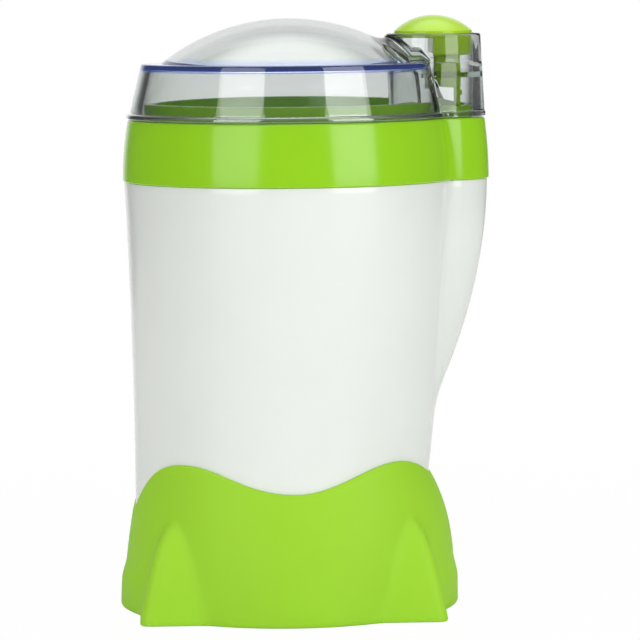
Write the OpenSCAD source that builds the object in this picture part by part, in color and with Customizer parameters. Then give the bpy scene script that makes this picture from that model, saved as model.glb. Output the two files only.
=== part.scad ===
// Electric blade coffee grinder: clear lid with a push button tower, green collar, white housing
// and a green base with four feet. Millimetres. The table is z = 0, the side lobe points to +X
// and the front is -Y. Every module draws around the spindle axis, which stands at axis_x.

/* [Housing] */
// Outer radius of the housing at its top edge
housing_r = 50.2; // [46:0.1:56]
// Height of the housing's top edge
housing_top = 130; // [122:0.1:142]
// Height of the housing's bottom edge, hidden in the base skirt
housing_bottom = 22; // [18:0.5:26]
// Radius lost per millimetre downwards
housing_taper = 0.059; // [0.04:0.0005:0.07]
// Wall of the housing
housing_wall = 2.5; // [1.8:0.1:3.2]
// Sideways set of the waist, away from the lobe
waist_shift = 2.85; // [0:0.05:3.5]
// Height of the waist
waist_z = 43; // [36:1:50]
// Inward slope of the lobe at the top edge
lobe_slope = 0.014; // [0:0.001:0.06]
// Inward curve of the lobe, per square millimetre of drop
lobe_curve = 0.0034; // [0.0022:0.0001:0.0042]

/* [Collar] */
// Height of the collar from the housing's edge to its shoulder
collar_h = 18.6; // [16:0.1:24]
// How far the collar stands proud of the housing
collar_step = 0.35; // [0.2:0.05:1.4]
// Radius lost towards the shoulder by the collar's crowned face
collar_crown = 1.6; // [0.8:0.1:2.4]
// Thickness of the collar's wall and lip
collar_wall = 2; // [1.6:0.1:3]
// Depth of the lip inside the housing
lip_h = 5; // [3:0.5:8]
// Thickness of the deck around the bowl
deck_t = 3.2; // [2.8:0.1:4.5]
// Height of the spigot that centres the lid
spigot_h = 4.5; // [2.6:0.1:5]
// Height of the boss around the push rod
rod_boss_h = 3.6; // [2.6:0.1:4.5]
// Wall of the spigot
spigot_wall = 2.5; // [1.6:0.1:3.5]

/* [Lid] */
// Wall of the clear lid
lid_wall = 3.2; // [2.4:0.1:4]
// Height of the lid from its flange to the flat rim
lid_h = 16.45; // [14:0.05:20]
// Inward lean of the lid's wall over its height
lid_lean = 3.85; // [2:0.05:5]
// Thickness of the flat rim
rim_t = 2; // [1.6:0.1:3]
// Radius of the dome where it leaves the rim
dome_r = 38.6; // [34:0.1:41]
// Rise of the dome over the rim
dome_h = 13.4; // [9:0.1:17]
// Thickness of the dome
dome_t = 2.5; // [1.8:0.1:3]
// Thickness of the flange
flange_t = 1.7; // [1.2:0.1:2.4]
// How far the flange stands out of the round wall
flange_w = 1; // [0.6:0.1:1.6]
// How far the flange stands out of the tower
tower_flange = 0.3; // [0.2:0.1:0.8]

/* [Button] */
// Bore of the button tower
tower_bore = 12.2; // [10.5:0.1:13]
// Wall of the tower at its foot
tower_wall = 3.45; // [3:0.05:4.5]
// Inward lean of the tower's wall over its height
tower_lean = 1.2; // [0:0.1:1.4]
// Height of the tower over the collar's shoulder
tower_h = 25.4; // [22:0.1:30]
// Distance from the tower's middle to the inner face of the button's stem
stem_in = 0.2; // [0:0.1:0.8]
// Thickness of the button's stem
stem_t = 7.4; // [6.6:0.1:7.8]
// Width of the button's stem
stem_w = 9; // [7:0.5:10]
// Height of the button's dome over the tower
button_rise = 5.5; // [4.5:0.1:8]
// Radius of the curve on top of the button
button_curve = 17; // [15:0.5:24]
// Travel of the button
button_travel = 2.5; // [1.5:0.1:3]
// Thickness of the guide shelf in the tower
shelf_t = 1.6; // [1.2:0.1:2.4]

/* [Bowl] */
// Inner radius of the steel bowl
bowl_r = 29; // [27:0.1:30]
// Depth of the bowl
bowl_depth = 36; // [30:0.5:40]
// Sheet thickness of the bowl
bowl_t = 0.8; // [0.6:0.1:1]
// Width of the bowl's rolled rim
bowl_rim = 2.2; // [1.6:0.1:3]
// Radius swept by the blade
blade_r = 25; // [20:0.5:26]
// Width of the blade
blade_w = 10; // [7:0.5:12]
// Thickness of the blade
blade_t = 1.5; // [1:0.1:2.2]

/* [Motor] */
// Radius of the spindle
shaft_r = 3; // [2.5:0.1:3.5]
// Radius of the armature
armature_r = 17.5; // [15:0.5:19]
// Length of the laminated cores
core_h = 26; // [20:1:30]
// Air gap around the armature
air_gap = 0.6; // [0.4:0.1:1]
// Radius of the field core
field_r = 29; // [27.5:0.5:31]
// Radius of the cooling fan
fan_r = 21; // [18:0.5:21.5]
// Radius of the commutator
commutator_r = 10; // [8:0.5:11]
// Length of the commutator
commutator_h = 11; // [9:0.5:13]
// Thickness of the bearing brackets
bracket_t = 3; // [2.4:0.1:4]

/* [Base] */
// Flare of the skirt at its sides, past the housing's line drawn down to the table
side_flare = 8.2; // [6:0.1:12]
// Flare of the skirt at its front and back
front_flare = 7.5; // [6:0.1:9]
// How far the low pad on each side stands out
side_pad = 1; // [0.6:0.1:2]
// Height where the side pads begin
side_pad_h = 15; // [11:0.5:18]
// Height of the four peaks of the skirt's edge
skirt_peak = 47.1; // [42:0.1:52]
// Drop of the edge at the front and the back
wave_front = 7.75; // [3:0.05:10]
// Drop of the edge on the lobe's side
wave_lobe = 7.7; // [3:0.1:10]
// Drop of the edge on the far side
wave_far = 14.7; // [6:0.1:18]
// Wall of the skirt
skirt_wall = 2.4; // [1.8:0.1:3]
// Angle of the feet from the front and from the back
foot_angle = 45; // [40:1:50]
// How far the toes' front faces stay inside the skirt's front, at the table
toe_front = 5.8; // [4:0.1:8]
// How far the toes' side faces stay inside the skirt's sides, at the table
toe_side = 4.75; // [3:0.05:7]
// Height of the toes' arch
toe_h = 31.5; // [26:0.5:34]
// Inward lean of the toes' front faces per millimetre of height
toe_front_lean = 0.17; // [0.05:0.01:0.3]
// Inward lean of the toes' side faces per millimetre of height
toe_side_lean = 0.07; // [0.02:0.01:0.3]
// Thickness of the rubber feet
rubber_t = 2; // [1.2:0.1:3]
// Thickness of the base plate
plate_t = 3; // [2:0.1:4]

/* [Fits] */
// Gap between the lid, the button and what they sit on
free_gap = 0.35; // [0.3:0.01:0.5]
// Gap between pieces that are pushed or screwed together
fit_gap = 0.1; // [0.05:0.01:0.2]
// Radial clearance of running shafts and guided pins
run_gap = 0.05; // [0.02:0.01:0.1]

/* [Hidden] */
$fn = 96;

lime = "#86C81E";
white = "#E6EBE4";
clear = [0.75, 0.8, 0.82, 0.4];
steel = "#B9BCC0";
brass = "#C9A550";
copper = "#B4632C";
dark = "#2B2D30";
pale = "#D8D2C2";

// Small allowance that carries a cut through a face.
cut = 1;

// Shared radii of the lobe, the tower and the bowl.
bowl_out = bowl_r + bowl_t;
bowl_rim_r = bowl_out + bowl_rim;
boss_r = tower_bore - free_gap;
boss_wall = 2.1;
pocket_r = boss_r - boss_wall;
lobe_c = bowl_rim_r + 0.3 + boss_r;
tower_r = tower_bore + tower_wall;
lobe_flare = 1.15;
lobe_r = tower_r + lobe_flare - 0.5;

// Heights from the collar upwards.
shoulder_z = housing_top + collar_h;
spigot_z = shoulder_z + spigot_h;
rod_boss_z = shoulder_z + rod_boss_h;
lid_z = shoulder_z + free_gap;
rim_z = lid_z + lid_h;
tower_z = shoulder_z + tower_h;
collar_r = housing_r + collar_step;
shoulder_r = collar_r - collar_crown;
lid_foot_r = shoulder_r - 0.55;
lid_inner_r = lid_foot_r - lid_wall;
rim_r = lid_foot_r - lid_lean;
flange_r = lid_foot_r + flange_w;
spigot_r = lid_inner_r - lid_lean * spigot_h / lid_h - free_gap;
spigot_gap_r = tower_r + tower_flange + free_gap;

// Heights of the button, which hangs in the tower.
head_r = tower_bore - free_gap;
shelf_z = rim_z - rim_t - 2.8;
head_z = shelf_z + shelf_t + button_travel + 2.5;
cap_z = tower_z - 1.5;
half_cut = 0.9;
stem_z = shelf_z - 3.4;
stem_out = stem_in + stem_t;
leg_w = 6;
leg_t = 2.3;
leg_z = rod_boss_z - 1.6;
button_top = tower_z + button_rise;

// The rod, its spring and its pocket in the collar's lobe.
rod_r = 2.4;
rod_head_t = 1.8;
rod_head_r = pocket_r - 0.6;
rod_top = leg_z - free_gap;
pocket_floor = shoulder_z - 12.4;
pocket_floor_t = 3;
spring_wire = 0.5;
spring_turns = 5;

// The switch stands under the rod, on a plate that hangs from the pocket.
switch_l = 19.8;
switch_h = 10.2;
switch_t = 6.4;
switch_top = pocket_floor - pocket_floor_t - 28.8;
lever_tilt = 19.4;
lever_swing = 17;
lever_t = 0.4;
lever_w = 3.4;
pivot_y = -7.8;
pivot_r = 0.6;
pivot_z = switch_top + 1;
lever_reach = 15.6;
nose_r = 1.2;
rod_end = pivot_z - pivot_y * tan(lever_tilt) + lever_t / 2 / cos(lever_tilt) + 0.3;
plunger_r = 0.9;
plunger_y = -3.2;
plunger_lever_gap = 0.3;
plunger_top = pivot_z + (plunger_y - pivot_y) * tan(lever_tilt) - lever_t / 2 / cos(lever_tilt)
    - plunger_lever_gap;
hanger_t = 2.6;
hanger_x = lobe_c - switch_t / 2 - hanger_t;
switch_hole_y = 4.75;
switch_screw_r = 1.1;
tab_y = 7;
tab_h = 6;

// Heights from the bowl downwards: seal, upper bracket, fan, cores, commutator, lower bracket.
floor_z = shoulder_z - bowl_depth;
seal_top = floor_z + 1.6;
seal_r = 6;
hub_z = seal_top + free_gap;
hub_h = 3.2;
blade_z = hub_z + hub_h;
nut_h = 5;
shaft_top = blade_z + blade_t + nut_h - 1.2;
bush_r = 5.5;
bush_seat_r = bush_r + fit_gap / 2;
bush_h = 6;
bracket_hub_r = 8.5;
upper_top = floor_z - bowl_t - 3.6;
upper_z = upper_top - bush_h - 1;
fan_z = upper_z - 7.5;
fan_h = 5;
winding_h = 4.6;
winding_r = armature_r - 2.2;
slot_w = 2.6;
slot_d = 6;
slot_angles = [for (i = [0 : 11]) 30 * i];
core_top = fan_z - winding_h - 2.9;
core_z = core_top - core_h;
commutator_top = core_z - winding_h - 0.8;
commutator_z = commutator_top - commutator_h;
lower_z = commutator_z - 5;
lower_hub_h = 5.4;
shaft_bottom = lower_z - lower_hub_h - 2.5;
field_bore = armature_r + air_gap;
yoke = 5;
pole_half = 50;
coil_half = 66;
coil_in = field_bore + 1.2;
coil_out = field_r - yoke - 0.6;
bolt_r = 1.6;
bolt_c = field_r - yoke / 2;
bolt_post_r = 3.4;
brush_w = 5;
brush_l = 10;
brush_wall = 1.2;
brush_z = commutator_z + commutator_h / 2;
brush_gap = 0.3;
holder_in = commutator_r + 1.4;
holder_l = 16;

// The motor hangs on three rubber mounts under posts of the collar.
post_r = 3.5;
mount_top = 2.4;
post_z = upper_z + bracket_t + mount_top;
post_c = (bowl_out + housing_inner(post_z)) / 2;
post_angles = [60, 180, 300];
mount_r = 5;
mount_neck = 3.4;
mount_lip = 2.2;
screw_r = 1.6;
screw_l = 20;

// The base.
skirt_x = -1;
skirt_side = housing_plain(0) + side_flare;
skirt_front = housing_plain(0) + front_flare;
side_pad_half = 37;
skirt_foot_z = 0.35;
skirt_lip = 0.9;
skirt_bulge = 2;
lobe_bulge = 1.1;
peak_shift = 1.94;
toe_round = 5;
toe_blend = 1.5;
toe_arch = 6;
plate_z = rubber_t;
base_post_r = 4.5;
base_post_c = housing_plain(housing_bottom) - housing_wall - 2.3;
base_post_angles = [45, 135, 225, 315];
boss_h = 18;
boss_in_r = 3.5;
foot_c = (skirt_side + skirt_front) / 2 - 1;
rubber_r = 5;
foot_angles = [for (side = [-90, 90], turn = [-1, 1]) side + turn * foot_angle];
gland_z = 13;
gland_bore = 3.5;
gland_neck = 5;
gland_lip = 6.5;
gland_sunk = 0.2;
gland_lip_t = 1.1;
gland_tail = 4.5;
lead_r = 1;

// The whole part is centred on its footprint, so the spindle stands a little off the origin.
reach_lobe = lobe_c + tower_r + lobe_flare;
reach_far = max(skirt_side + side_pad - skirt_x, collar_r);
axis_x = (reach_far - reach_lobe) / 2;

// Radius of the housing around its own centre at height z, without the lobe.
function housing_plain(z) = housing_r - (housing_top - z) * housing_taper;

// Inner radius of the housing at height z, without the lobe.
function housing_inner(z) = housing_plain(z) - housing_wall;

// Sideways set of the housing's centre, which grows from its top edge downwards.
function housing_set(z) = -waist_shift * pow((housing_top - z) / (housing_top - waist_z), 1.63);

// Reach of the lobe at height z, on a curve that turns into the housing.
function lobe_reach(z) =
    let (drop = housing_top - z) lobe_c + lobe_r - lobe_slope * drop - lobe_curve * drop * drop;

// Distance along a ray at angle a to a circle of radius r whose centre lies c along +X.
function ray(r, c, a) =
    let (s = r * r - pow(c * sin(a), 2)) s <= 0 || (c > r && cos(a) < 0) ? 0 : c * cos(a) + sqrt(s);

// Larger of two lengths, rounded over where they are within k of each other.
function soft_max(a, b, k) = max(a, b) + pow(max(k - abs(a - b), 0), 2) / (4 * k);

// Outer radius of the housing from the spindle axis at angle a and height z.
function housing_at(a, z) =
    let (centre = lobe_reach(z) - lobe_r)
    soft_max(ray(housing_plain(z), housing_set(z), a), centre > lobe_r / 2 ? ray(lobe_r, centre, a) : 0, 2.4);

// Height of the skirt's wavy edge at angle a. The peaks lie a little nearer to the front and the back.
function skirt_edge(a) =
    let (across = cos(a) * cos(a))
    let (side = cos(a) < 0 ? wave_far : wave_lobe)
    let (wave = (1 + cos(4 * a - 4 * peak_shift * sin(2 * a))) / 2)
    skirt_peak - (wave_front + (side - wave_front) * across) * wave;

// Soft step from 0 to 1.
function step01(t) = let (u = max(0, min(1, t))) u * u * (3 - 2 * u);

// Distance from the spindle to the toes at angle a and height z. In plan they are a square with
// rounded corners, and only its corners stand out of the skirt.
function toe_at(a, z) =
    let (up = min(1, z / toe_h))
    let (arch = toe_arch * (1 - sqrt(1 - pow(up, 4))) + max(0, z - toe_h))
    let (front = skirt_front - toe_front - toe_front_lean * z - arch)
    let (side = skirt_side - toe_side - toe_side_lean * z - arch + skirt_x * sign(cos(a)))
    let (to_front = front / max(0.1, abs(sin(a))))
    let (to_side = side / max(0.1, abs(cos(a))))
    -soft_max(-to_front, -to_side, toe_round);

// How far the low pad on the side stands out at angle a and height z.
function side_pad_at(a, z) =
    let (off = abs((a + 90) % 180 - 90))
    side_pad * step01((side_pad_h - z) / 7) * step01((side_pad_half - off) / 6 + 0.5);

// Plain flare of the skirt from the edge height downwards, before the toes and pads.
function skirt_plain(a, z) =
    let (edge = skirt_edge(a))
    let (drop = max(0, min(1, (edge - z) / edge)))
    let (from = housing_at(a, edge) + fit_gap + skirt_lip)
    let (mean = (skirt_side + skirt_front) / 2)
    let (foot = ray(mean + (skirt_side - skirt_front) / 2 * cos(2 * a), skirt_x, a))
    from + (foot - from) * (1 - pow(1 - drop, skirt_bulge + lobe_bulge * max(0, cos(a))));

// Outer radius of the skirt at angle a and height z.
function skirt_at(a, z) = soft_max(skirt_plain(a, z) + side_pad_at(a, z), toe_at(a, z), toe_blend);

// Inner radius of the skirt: it hugs the housing, and lower down it is a shell of even wall.
function skirt_inner(a, z) =
    max(housing_at(a, max(z, housing_bottom)) + fit_gap, skirt_at(a, z) - skirt_wall);

// A point of a shell at angle a, radius r and height z.
function polar(a, r, z) = [r * cos(a), r * sin(a), z];

// A closed shell through rings of points. The rings run up the outside and down the inside.
module ring_shell(rings) {
    n = len(rings[0]);
    m = len(rings);
    polyhedron(
        points = [for (ring = rings) each ring],
        faces = [
            for (i = [0 : m - 1], j = [0 : n - 1])
                let (k = (i + 1) % m, l = (j + 1) % n)
                each [
                    [i * n + j, k * n + l, i * n + l],
                    [i * n + j, k * n + j, k * n + l]
                ]
        ]
    );
}

// One ring of points at even angles, given a function of the angle as lists of radius and height.
function ring(count, radius, height) = [
    for (j = [0 : count - 1]) polar(360 * j / count, radius(360 * j / count), height(360 * j / count))
];

// A tube between two heights around the z axis.
module tube(z0, z1, outer, inner) {
    translate([0, 0, z0])
    difference() {
        cylinder(h = z1 - z0, r = outer);
        translate([0, 0, -cut]) cylinder(h = z1 - z0 + 2 * cut, r = inner);
    }
}

// A plain cylinder between two heights, or a cone where the radii differ.
module rod(z0, z1, r0, r1) {
    translate([0, 0, z0]) cylinder(h = z1 - z0, r1 = r0, r2 = r1);
}

// A crowned solid of revolution that stands on the collar's lower edge.
module crowned(low, crown) {
    edge = 0.8;
    steps = 6;
    rotate_extrude()
    polygon([
        [0, housing_top],
        for (i = [0 : steps]) let (t = i / steps) [low - crown * t * t, housing_top + (collar_h - edge) * t],
        [low - crown - edge, shoulder_z],
        [0, shoulder_z]
    ]);
}

// Draws its children once at each angle, at distance c from the axis.
module around(angles, c) {
    for (a = angles) rotate([0, 0, a]) translate([c, 0, 0]) children();
}

// A helical spring of round wire between two heights, as one unbroken tube.
module helix(z0, z1, r, wire, turns) {
    sides = 6;
    per_turn = 16;
    n = turns * per_turn;
    points = [
        for (i = [0 : n], k = [0 : sides - 1])
            let (a = 360 * i / per_turn, b = 360 * k / sides)
            polar(a, r + wire * cos(b), z0 + wire + (z1 - z0 - 2 * wire) * i / n + wire * sin(b))
    ];
    faces = [
        for (i = [0 : n - 1], k = [0 : sides - 1])
            let (l = (k + 1) % sides)
            each [
                [i * sides + k, (i + 1) * sides + k, (i + 1) * sides + l],
                [i * sides + k, (i + 1) * sides + l, i * sides + l]
            ]
    ];
    ends = [
        for (k = [1 : sides - 2]) each [[0, k, k + 1], [n * sides, n * sides + k + 1, n * sides + k]]
    ];
    polyhedron(points, concat(faces, ends));
}

// The lid: dome on a flat rim, leaning wall with a flange, and the open tower with its guide shelf.
module lid_shell() {
    ball = (dome_r * dome_r + dome_h * dome_h) / 2 / dome_h;
    difference() {
        union() {
            rod(lid_z, rim_z, lid_foot_r, rim_r);
            rod(lid_z, lid_z + flange_t, flange_r, flange_r);
            intersection() {
                translate([0, 0, rim_z + dome_h - ball]) sphere(ball);
                rod(rim_z - rim_t, rim_z + dome_h + cut, dome_r, dome_r);
            }
        }
        rod(lid_z - cut, rim_z - rim_t, lid_inner_r + lid_lean * cut / lid_h, rim_r - lid_wall);
        intersection() {
            translate([0, 0, rim_z + dome_h - ball]) sphere(ball - dome_t);
            rod(rim_z - rim_t - cut, rim_z + dome_h, dome_r - dome_t, dome_r - dome_t);
        }
        translate([lobe_c, 0, 0]) rod(lid_z - cut, tower_z + cut, tower_bore + cut, tower_bore + cut);
    }
}

module tower() {
    translate([lobe_c, 0, 0]) {
        difference() {
            union() {
                rod(lid_z, tower_z, tower_r, tower_r - tower_lean);
                rod(lid_z, lid_z + flange_t, tower_r + tower_flange, tower_r + tower_flange);
            }
            rod(lid_z - cut, tower_z + cut, tower_bore, tower_bore);
        }
        guide_shelf();
    }
}

// The shelf across the outer half of the tower, with a slot for the button's stem.
module guide_shelf() {
    difference() {
        rod(shelf_z, shelf_z + shelf_t, tower_bore + cut, tower_bore + cut);
        translate([-2 * tower_r, -tower_r, shelf_z - cut]) cube([2 * tower_r, 2 * tower_r, shelf_t + 2 * cut]);
        translate([-cut, -stem_w / 2 - free_gap, shelf_z - cut])
            cube([stem_out + free_gap + cut, stem_w + 2 * free_gap, shelf_t + 2 * cut]);
    }
}

module lid() {
    color(clear) {
        lid_shell();
        tower();
    }
}

// The push button: domed cap, a skirt on its outer half, an offset stem, and a leg with a small catch.
module push_button() {
    catch_z = stem_z - 2.2;
    catch = 0.7;
    color(lime)
    translate([lobe_c, 0, 0])
    union() {
        intersection() {
            rod(cap_z, button_top + cut, head_r, head_r);
            translate([0, 0, button_top - button_curve]) sphere(button_curve);
        }
        difference() {
            rod(head_z, cap_z + cut, head_r - 0.15, head_r - 0.15);
            translate([-half_cut - 2 * head_r, -2 * head_r, head_z - cut])
                cube([2 * head_r, 4 * head_r, cap_z - head_z + 3 * cut]);
        }
        translate([stem_in, -stem_w / 2, stem_z]) cube([stem_t, stem_w, head_z - stem_z + cut]);
        translate([stem_out - leg_t, -leg_w / 2, leg_z]) cube([leg_t, leg_w, stem_z - leg_z + cut]);
        translate([0, leg_w / 2, 0])
            rotate([90, 0, 0])
            linear_extrude(leg_w)
            polygon([
                [stem_out - leg_t / 2, catch_z],
                [stem_out + catch, catch_z],
                [stem_out, catch_z + 2 * catch],
                [stem_out - leg_t / 2, catch_z + 2 * catch]
            ]);
    }
}

// The collar: crowned ring with its lobe, deck, spigot, rod pocket, motor posts and switch hanger.
module collar_shell() {
    recess = 2 * bowl_t;
    difference() {
        union() {
            crowned(collar_r, collar_crown);
            translate([lobe_c, 0, 0]) crowned(tower_r + lobe_flare, lobe_flare);
            tube(housing_top - lip_h, shoulder_z - cut, lip_r(), lip_r() - collar_wall);
        }
        rod(housing_top - lip_h - cut, shoulder_z - deck_t, lip_r() - collar_wall, lip_r() - collar_wall);
        translate([lobe_c, 0, 0])
            rod(housing_top - lip_h - cut, shoulder_z - deck_t, lobe_r - housing_wall, lobe_r - housing_wall);
        rod(shoulder_z - deck_t - cut, shoulder_z + cut, bowl_out + 0.3, bowl_out + 0.3);
        rod(shoulder_z - recess, shoulder_z + cut, bowl_rim_r + fit_gap, bowl_rim_r + fit_gap);
        translate([lobe_c, 0, 0]) rod(pocket_floor, shoulder_z + cut, pocket_r, pocket_r);
    }
}

// Outer radius of the collar's lip, which drops inside the housing's edge.
function lip_r() = housing_inner(housing_top - lip_h) - fit_gap;

module collar_spigot() {
    difference() {
        tube(shoulder_z - cut, spigot_z, spigot_r, spigot_r - spigot_wall);
        translate([lobe_c, 0, 0])
            rod(shoulder_z - 2 * cut, spigot_z + cut, spigot_gap_r, spigot_gap_r);
    }
}

module rod_pocket() {
    translate([lobe_c, 0, 0])
    difference() {
        rod(pocket_floor - pocket_floor_t, rod_boss_z, boss_r, boss_r);
        rod(pocket_floor, rod_boss_z + cut, pocket_r, pocket_r);
        rod(pocket_floor - pocket_floor_t - cut, pocket_floor + cut, rod_r + run_gap, rod_r + run_gap);
    }
}

module switch_hanger() {
    low = switch_top - switch_h;
    difference() {
        translate([hanger_x, -switch_l / 2 + 1, low])
            cube([hanger_t, switch_l - 2, pocket_floor - pocket_floor_t - low + cut]);
        for (side = [-1, 1])
            translate([hanger_x - cut, side * switch_hole_y, switch_top - switch_h / 2])
                rotate([0, 90, 0]) cylinder(h = hanger_t + 2 * cut, r = switch_screw_r + fit_gap);
    }
}

module collar() {
    color(lime) {
        collar_shell();
        collar_spigot();
        rod_pocket();
        switch_hanger();
        around(post_angles, post_c)
            tube(post_z, shoulder_z - deck_t + cut, post_r, screw_r + fit_gap);
    }
}

// The white housing: one moulded tube with the lobe, and four screw bosses near its lower edge.
module housing_shell() {
    count = 80;
    levels = 14;
    heights = [for (i = [0 : levels]) housing_bottom + (housing_top - housing_bottom) * i / levels];
    ring_shell([
        for (z = heights) ring(count, function(a) housing_at(a, z), function(a) z),
        for (i = [levels : -1 : 0])
            let (z = heights[i])
            ring(count, function(a) housing_at(a, z) - housing_wall, function(a) z)
    ]);
}

module housing() {
    color(white) {
        housing_shell();
        translate([housing_set(housing_bottom), 0, 0])
        around(base_post_angles, base_post_c)
            tube(housing_bottom, housing_bottom + boss_h, boss_in_r, screw_r + fit_gap);
    }
}

// The green skirt: wavy edge, flared sides and four toes. The cord's hole, with its seat, is at the back.
module base_skirt() {
    count = 120;
    levels = 12;
    color(lime)
    difference() {
        ring_shell([
            for (i = [0 : levels])
                let (level = function(a) skirt_foot_z + (skirt_edge(a) - skirt_foot_z) * i / levels)
                ring(count, function(a) skirt_at(a, level(a)), level),
            for (i = [levels : -1 : 0])
                let (level = function(a) skirt_foot_z + (skirt_edge(a) - skirt_foot_z) * i / levels)
                ring(count, function(a) skirt_inner(a, level(a)), level)
        ]);
        translate([0, 0, gland_z]) rotate([-90, 0, 0]) {
            rod(0, 2 * skirt_side, gland_neck + fit_gap, gland_neck + fit_gap);
            rod(gland_seat() - fit_gap, 2 * skirt_side, gland_lip + fit_gap, gland_lip + fit_gap);
        }
    }
}

// The plate that closes the base, with posts for the housing's screws and slots for cooling air.
module base_plate() {
    count = 60;
    step = 360 / count;
    slot_l = 16;
    slot_w = 3;
    set = housing_set(housing_bottom);
    room = function(a) min([
        for (b = [a - step, a, a + step], z = [plate_z, plate_z + plate_t]) skirt_inner(b, z)
    ]);
    outline = [
        for (j = [0 : count - 1])
            let (a = step * j, r = room(a) - free_gap)
            [r * cos(a), r * sin(a)]
    ];
    color(lime)
    difference() {
        union() {
            translate([0, 0, plate_z]) linear_extrude(plate_t) polygon(outline);
            translate([set, 0, 0])
            around(base_post_angles, base_post_c)
                rod(plate_z + plate_t - cut, housing_bottom, base_post_r, base_post_r);
        }
        translate([set, 0, 0])
        around(base_post_angles, base_post_c) {
            rod(plate_z - cut, housing_bottom + cut, screw_r + fit_gap, screw_r + fit_gap);
            rod(plate_z - cut, plate_z + plate_t, head_of(screw_r) + fit_gap, head_of(screw_r) + fit_gap);
        }
        translate([skirt_x, 0, 0])
        around(foot_angles, foot_c)
            rod(plate_z - cut, plate_z + plate_t + cut, rubber_r / 2 + fit_gap, rubber_r / 2 + fit_gap);
        for (row = [-3 : 3], side = [-1, 1])
            translate([side * (slot_l / 2 + 2) - slot_l / 2, row * 2 * slot_w - slot_w / 2, plate_z - cut])
                cube([slot_l, slot_w, plate_t + 2 * cut]);
    }
}

// Head radius of a pan head screw.
function head_of(r) = 1.8 * r;

// A pan head screw that points up from z, with its head below.
module screw_up(z, r, length, head_t) {
    rod(z - head_t, z, head_of(r), head_of(r));
    rod(z - cut / 4, z + length, r, r);
}

module base_screws() {
    head_t = 2;
    color(steel)
    translate([housing_set(housing_bottom), 0, 0])
    around(base_post_angles, base_post_c)
        screw_up(plate_z + plate_t, screw_r, housing_bottom - plate_z - plate_t + boss_h - 3, head_t);
}

module rubber_feet() {
    color(dark)
    translate([skirt_x, 0, 0])
    around(foot_angles, foot_c) {
        rod(0, rubber_t, rubber_r, rubber_r);
        rod(rubber_t - cut / 4, plate_z + plate_t + 0.6, rubber_r / 2, rubber_r / 2);
    }
}

// Distance from the spindle to the seat of the gland's outer lip.
function gland_seat() = skirt_at(90, gland_z) - gland_sunk;

// The bush in the back of the skirt that the mains lead passes through.
module cord_gland() {
    lip_t = gland_lip_t;
    color(dark)
    translate([0, gland_seat(), gland_z])
    rotate([90, 0, 0])
    difference() {
        union() {
            rod(-lip_t, 0, gland_lip - lip_t / 2, gland_lip);
            rod(-cut / 4, skirt_wall + gland_tail - cut / 4, gland_neck, gland_neck);
            rod(skirt_wall + gland_tail - lip_t, skirt_wall + gland_tail, gland_lip, gland_lip);
        }
        rod(-lip_t - cut, skirt_wall + gland_tail + cut, gland_bore, gland_bore);
    }
}

// The pressed steel bowl with a rounded floor and a rolled rim that lies on the gasket.
module grinding_bowl() {
    corner = 6;
    steps = 6;
    arc_in = [for (i = [0 : steps]) let (a = 90 * i / steps)
        [bowl_r - corner + corner * sin(a), floor_z + corner - corner * cos(a)]];
    arc_out = [for (i = [steps : -1 : 0]) let (a = 90 * i / steps)
        [bowl_r - corner + (corner + bowl_t) * sin(a), floor_z + corner - (corner + bowl_t) * cos(a)]];
    color(steel)
    rotate_extrude()
    polygon([
        [seal_r + fit_gap, floor_z],
        each arc_in,
        [bowl_r, shoulder_z],
        [bowl_rim_r, shoulder_z],
        [bowl_rim_r, shoulder_z - bowl_t],
        [bowl_out, shoulder_z - bowl_t],
        each arc_out,
        [seal_r + fit_gap, floor_z - bowl_t]
    ]);
}

module bowl_gasket() {
    color(dark)
    tube(shoulder_z - 2 * bowl_t, shoulder_z - bowl_t, bowl_rim_r, bowl_out + 0.3);
}

// The rubber seal in the bowl's floor, between two lips.
module shaft_seal() {
    lip = 2;
    color(dark)
    difference() {
        union() {
            rod(floor_z - bowl_t - lip, seal_top, seal_r, seal_r);
            rod(floor_z, seal_top, seal_r + lip, seal_r + lip / 2);
            rod(floor_z - bowl_t - lip, floor_z - bowl_t, seal_r + lip, seal_r + lip);
        }
        rod(floor_z - bowl_t - lip - cut, seal_top + cut, shaft_r + run_gap, shaft_r + run_gap);
    }
}

// The blade: a flat bar with round ends, each wing turned a little about its length.
module blade() {
    pitch = 9;
    middle = 7;
    color(steel)
    difference() {
        union() {
            rod(blade_z, blade_z + blade_t, middle, middle);
            for (turn = [0, 180])
                rotate([0, 0, turn])
                translate([0, 0, blade_z + blade_t / 2])
                rotate([pitch, 0, 0])
                translate([0, 0, -blade_t / 2]) {
                    translate([0, -blade_w / 2, 0]) cube([blade_r - blade_w / 2, blade_w, blade_t]);
                    translate([blade_r - blade_w / 2, 0, 0]) cylinder(h = blade_t, r = blade_w / 2);
                }
        }
        rod(blade_z - cut, blade_z + blade_t + cut, shaft_r + fit_gap, shaft_r + fit_gap);
        blade_room();
    }
}

// Room for the hub under the blade and for the nut on it.
module blade_room() {
    rod(blade_z - 3, blade_z, 7, 7);
    rod(blade_z + blade_t, blade_z + blade_t + 3, 7, 7);
}

module blade_hub() {
    color(dark)
    tube(hub_z, blade_z, 6.2, shaft_r);
}

module blade_nut() {
    nut_r = 5.4;
    color(steel)
    difference() {
        intersection() {
            rod(blade_z + blade_t, blade_z + blade_t + nut_h, nut_r, nut_r);
            translate([0, 0, blade_z + blade_t - 2]) sphere(nut_r + 2);
        }
        rod(blade_z, shaft_top, shaft_r, shaft_r);
    }
}

module motor_shaft() {
    color(steel)
    rod(shaft_bottom, shaft_top, shaft_r, shaft_r);
}

// The slotted armature stack.
module armature_core() {
    color("#6E7175")
    difference() {
        tube(core_z, core_top, armature_r, shaft_r);
        around(slot_angles, armature_r - slot_d)
            translate([0, -slot_w / 2, core_z - cut]) cube([slot_d + cut, slot_w, core_h + 2 * cut]);
    }
}

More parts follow.
